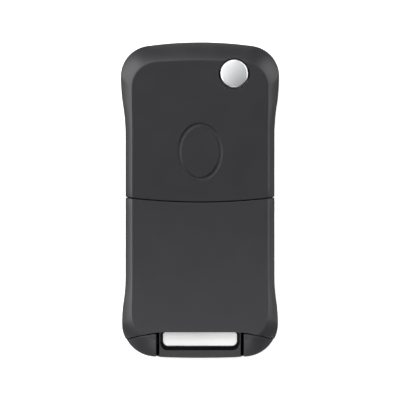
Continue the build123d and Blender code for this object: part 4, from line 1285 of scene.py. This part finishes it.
# %% Lamps
BOXES = {
    "left_box": ((-0.57, 0.0, 0.57), 0.35, 1.9),
    "left_low_box": ((-0.72, 0.0, 0.25), 0.25, 0.25),
    "left_corner_box": ((-0.48, 0.42, 0.38), 0.35, 2.1),
    "left_shoulder_box": ((-0.6, 0.2, 0.4), 0.22, 0.7),
    "right_box": ((0.56, 0.0, 0.57), 0.28, 0.9),
    "right_low_box": ((0.75, -0.1, 0.22), 0.25, 0.4),
    "right_corner_box": ((0.48, 0.4, 0.36), 0.3, 1.2),
    "right_shoulder_box": ((0.6, 0.2, 0.4), 0.22, 0.52),
    "head_box": ((-0.15, 0.56, 0.58), 0.35, 0.95),
    "head_low_box": ((0.0, 0.8, 0.1), 0.15, 0.4),
    "foot_box": ((0.0, -0.15, 0.12), 0.1, 0.065),
    "overhead_box": ((0.0, 0.055, 0.9), 0.12, 2.7),
}
for name, (place, size, watts) in BOXES.items():
    lamp = bpy.data.lights.new(name, "AREA")
    lamp.size = size
    lamp.energy = watts
    box = bpy.data.objects.new(name, lamp)
    box.location = place
    box.rotation_euler = (-Vector(place)).to_track_quat("-Z", "Y").to_euler()
    box.visible_glossy = name != "overhead_box"
    scene.collection.objects.link(box)
print("soft boxes:", len(BOXES))

# %% World
world = bpy.data.worlds.new("studio")
scene.world = world
world.use_nodes = True
tree = world.node_tree
direction = node(tree, "TexCoord")["Generated"]
corner = node(tree, "VectorMath", {0: direction, 1: (-0.6, 0.6, 0.0)}, operation="DOT_PRODUCT")["Value"]
up = node(tree, "SeparateXYZ", {0: direction})["Z"]
left_glow, height_glow = ranged(tree, corner, -0.45, 0.6, 0.05, 1.5), ranged(tree, up, 0.3, 0.9, 0.05)
sky = worked_out(tree, "MULTIPLY", left_glow, height_glow)
horizon = worked_out(tree, "LESS_THAN", up, 0.06)
seen = worked_out(tree, "MAXIMUM", node(tree, "LightPath")["Is Camera Ray"], horizon)
tree.links.new(mixed(tree, seen, sky, (1, 1, 1, 1)), tree.nodes["Background"].inputs["Color"])
print("world nodes:", len(tree.nodes))

# %% [markdown]
# ## Floor
# A white sheet just under the key. To the camera, and in gloss and glass, it also glows a little, so that
# it clips to white away from the object and still keeps the soft shadow next to it. From below it is clear.

# %% Floor
GLOW, HALF_SIDE, BELOW = 0.46, 3.0, 0.02
square = [(x * HALF_SIDE, y * HALF_SIDE, -BELOW * MM) for x, y in ((-1, -1), (1, -1), (1, 1), (-1, 1))]
floor_mesh = bpy.data.meshes.new("floor")
floor_mesh.from_pydata(square, [], [(0, 1, 2, 3)])
floor = bpy.data.objects.new("floor", floor_mesh)
scene.collection.objects.link(floor)
floor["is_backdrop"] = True
paper = bpy.data.materials.new("paper_white_sheet")
floor_mesh.materials.append(paper)
paper.use_nodes = True
tree = paper.node_tree
tree.nodes.clear()
ray = node(tree, "LightPath")
mirrored = worked_out(tree, "MAXIMUM", ray["Is Camera Ray"], ray["Is Glossy Ray"])
glow = worked_out(tree, "MULTIPLY", worked_out(tree, "MAXIMUM", mirrored, ray["Is Transmission Ray"]), GLOW)
lit = node(tree, "BsdfDiffuse", {"Color": srgb("#F4F4F2")})[0]
shine = node(tree, "Emission", {"Strength": glow})[0]
white = node(tree, "AddShader", {0: lit, 1: shine})[0]
clear = node(tree, "BsdfTransparent")[0]
back = node(tree, "NewGeometry")["Backfacing"]
node(tree, "OutputMaterial", {"Surface": node(tree, "MixShader", {0: back, 1: white, 2: clear})[0]})
print("floor glow:", GLOW)

# %% [markdown]
# ## Sizes
# The box of the CAD frame and of the dressed model are put side by side in one table.

# %% Finish
size = {"cad": [list(corner) for corner in cad_box], "visual": [list(corner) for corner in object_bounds()]}
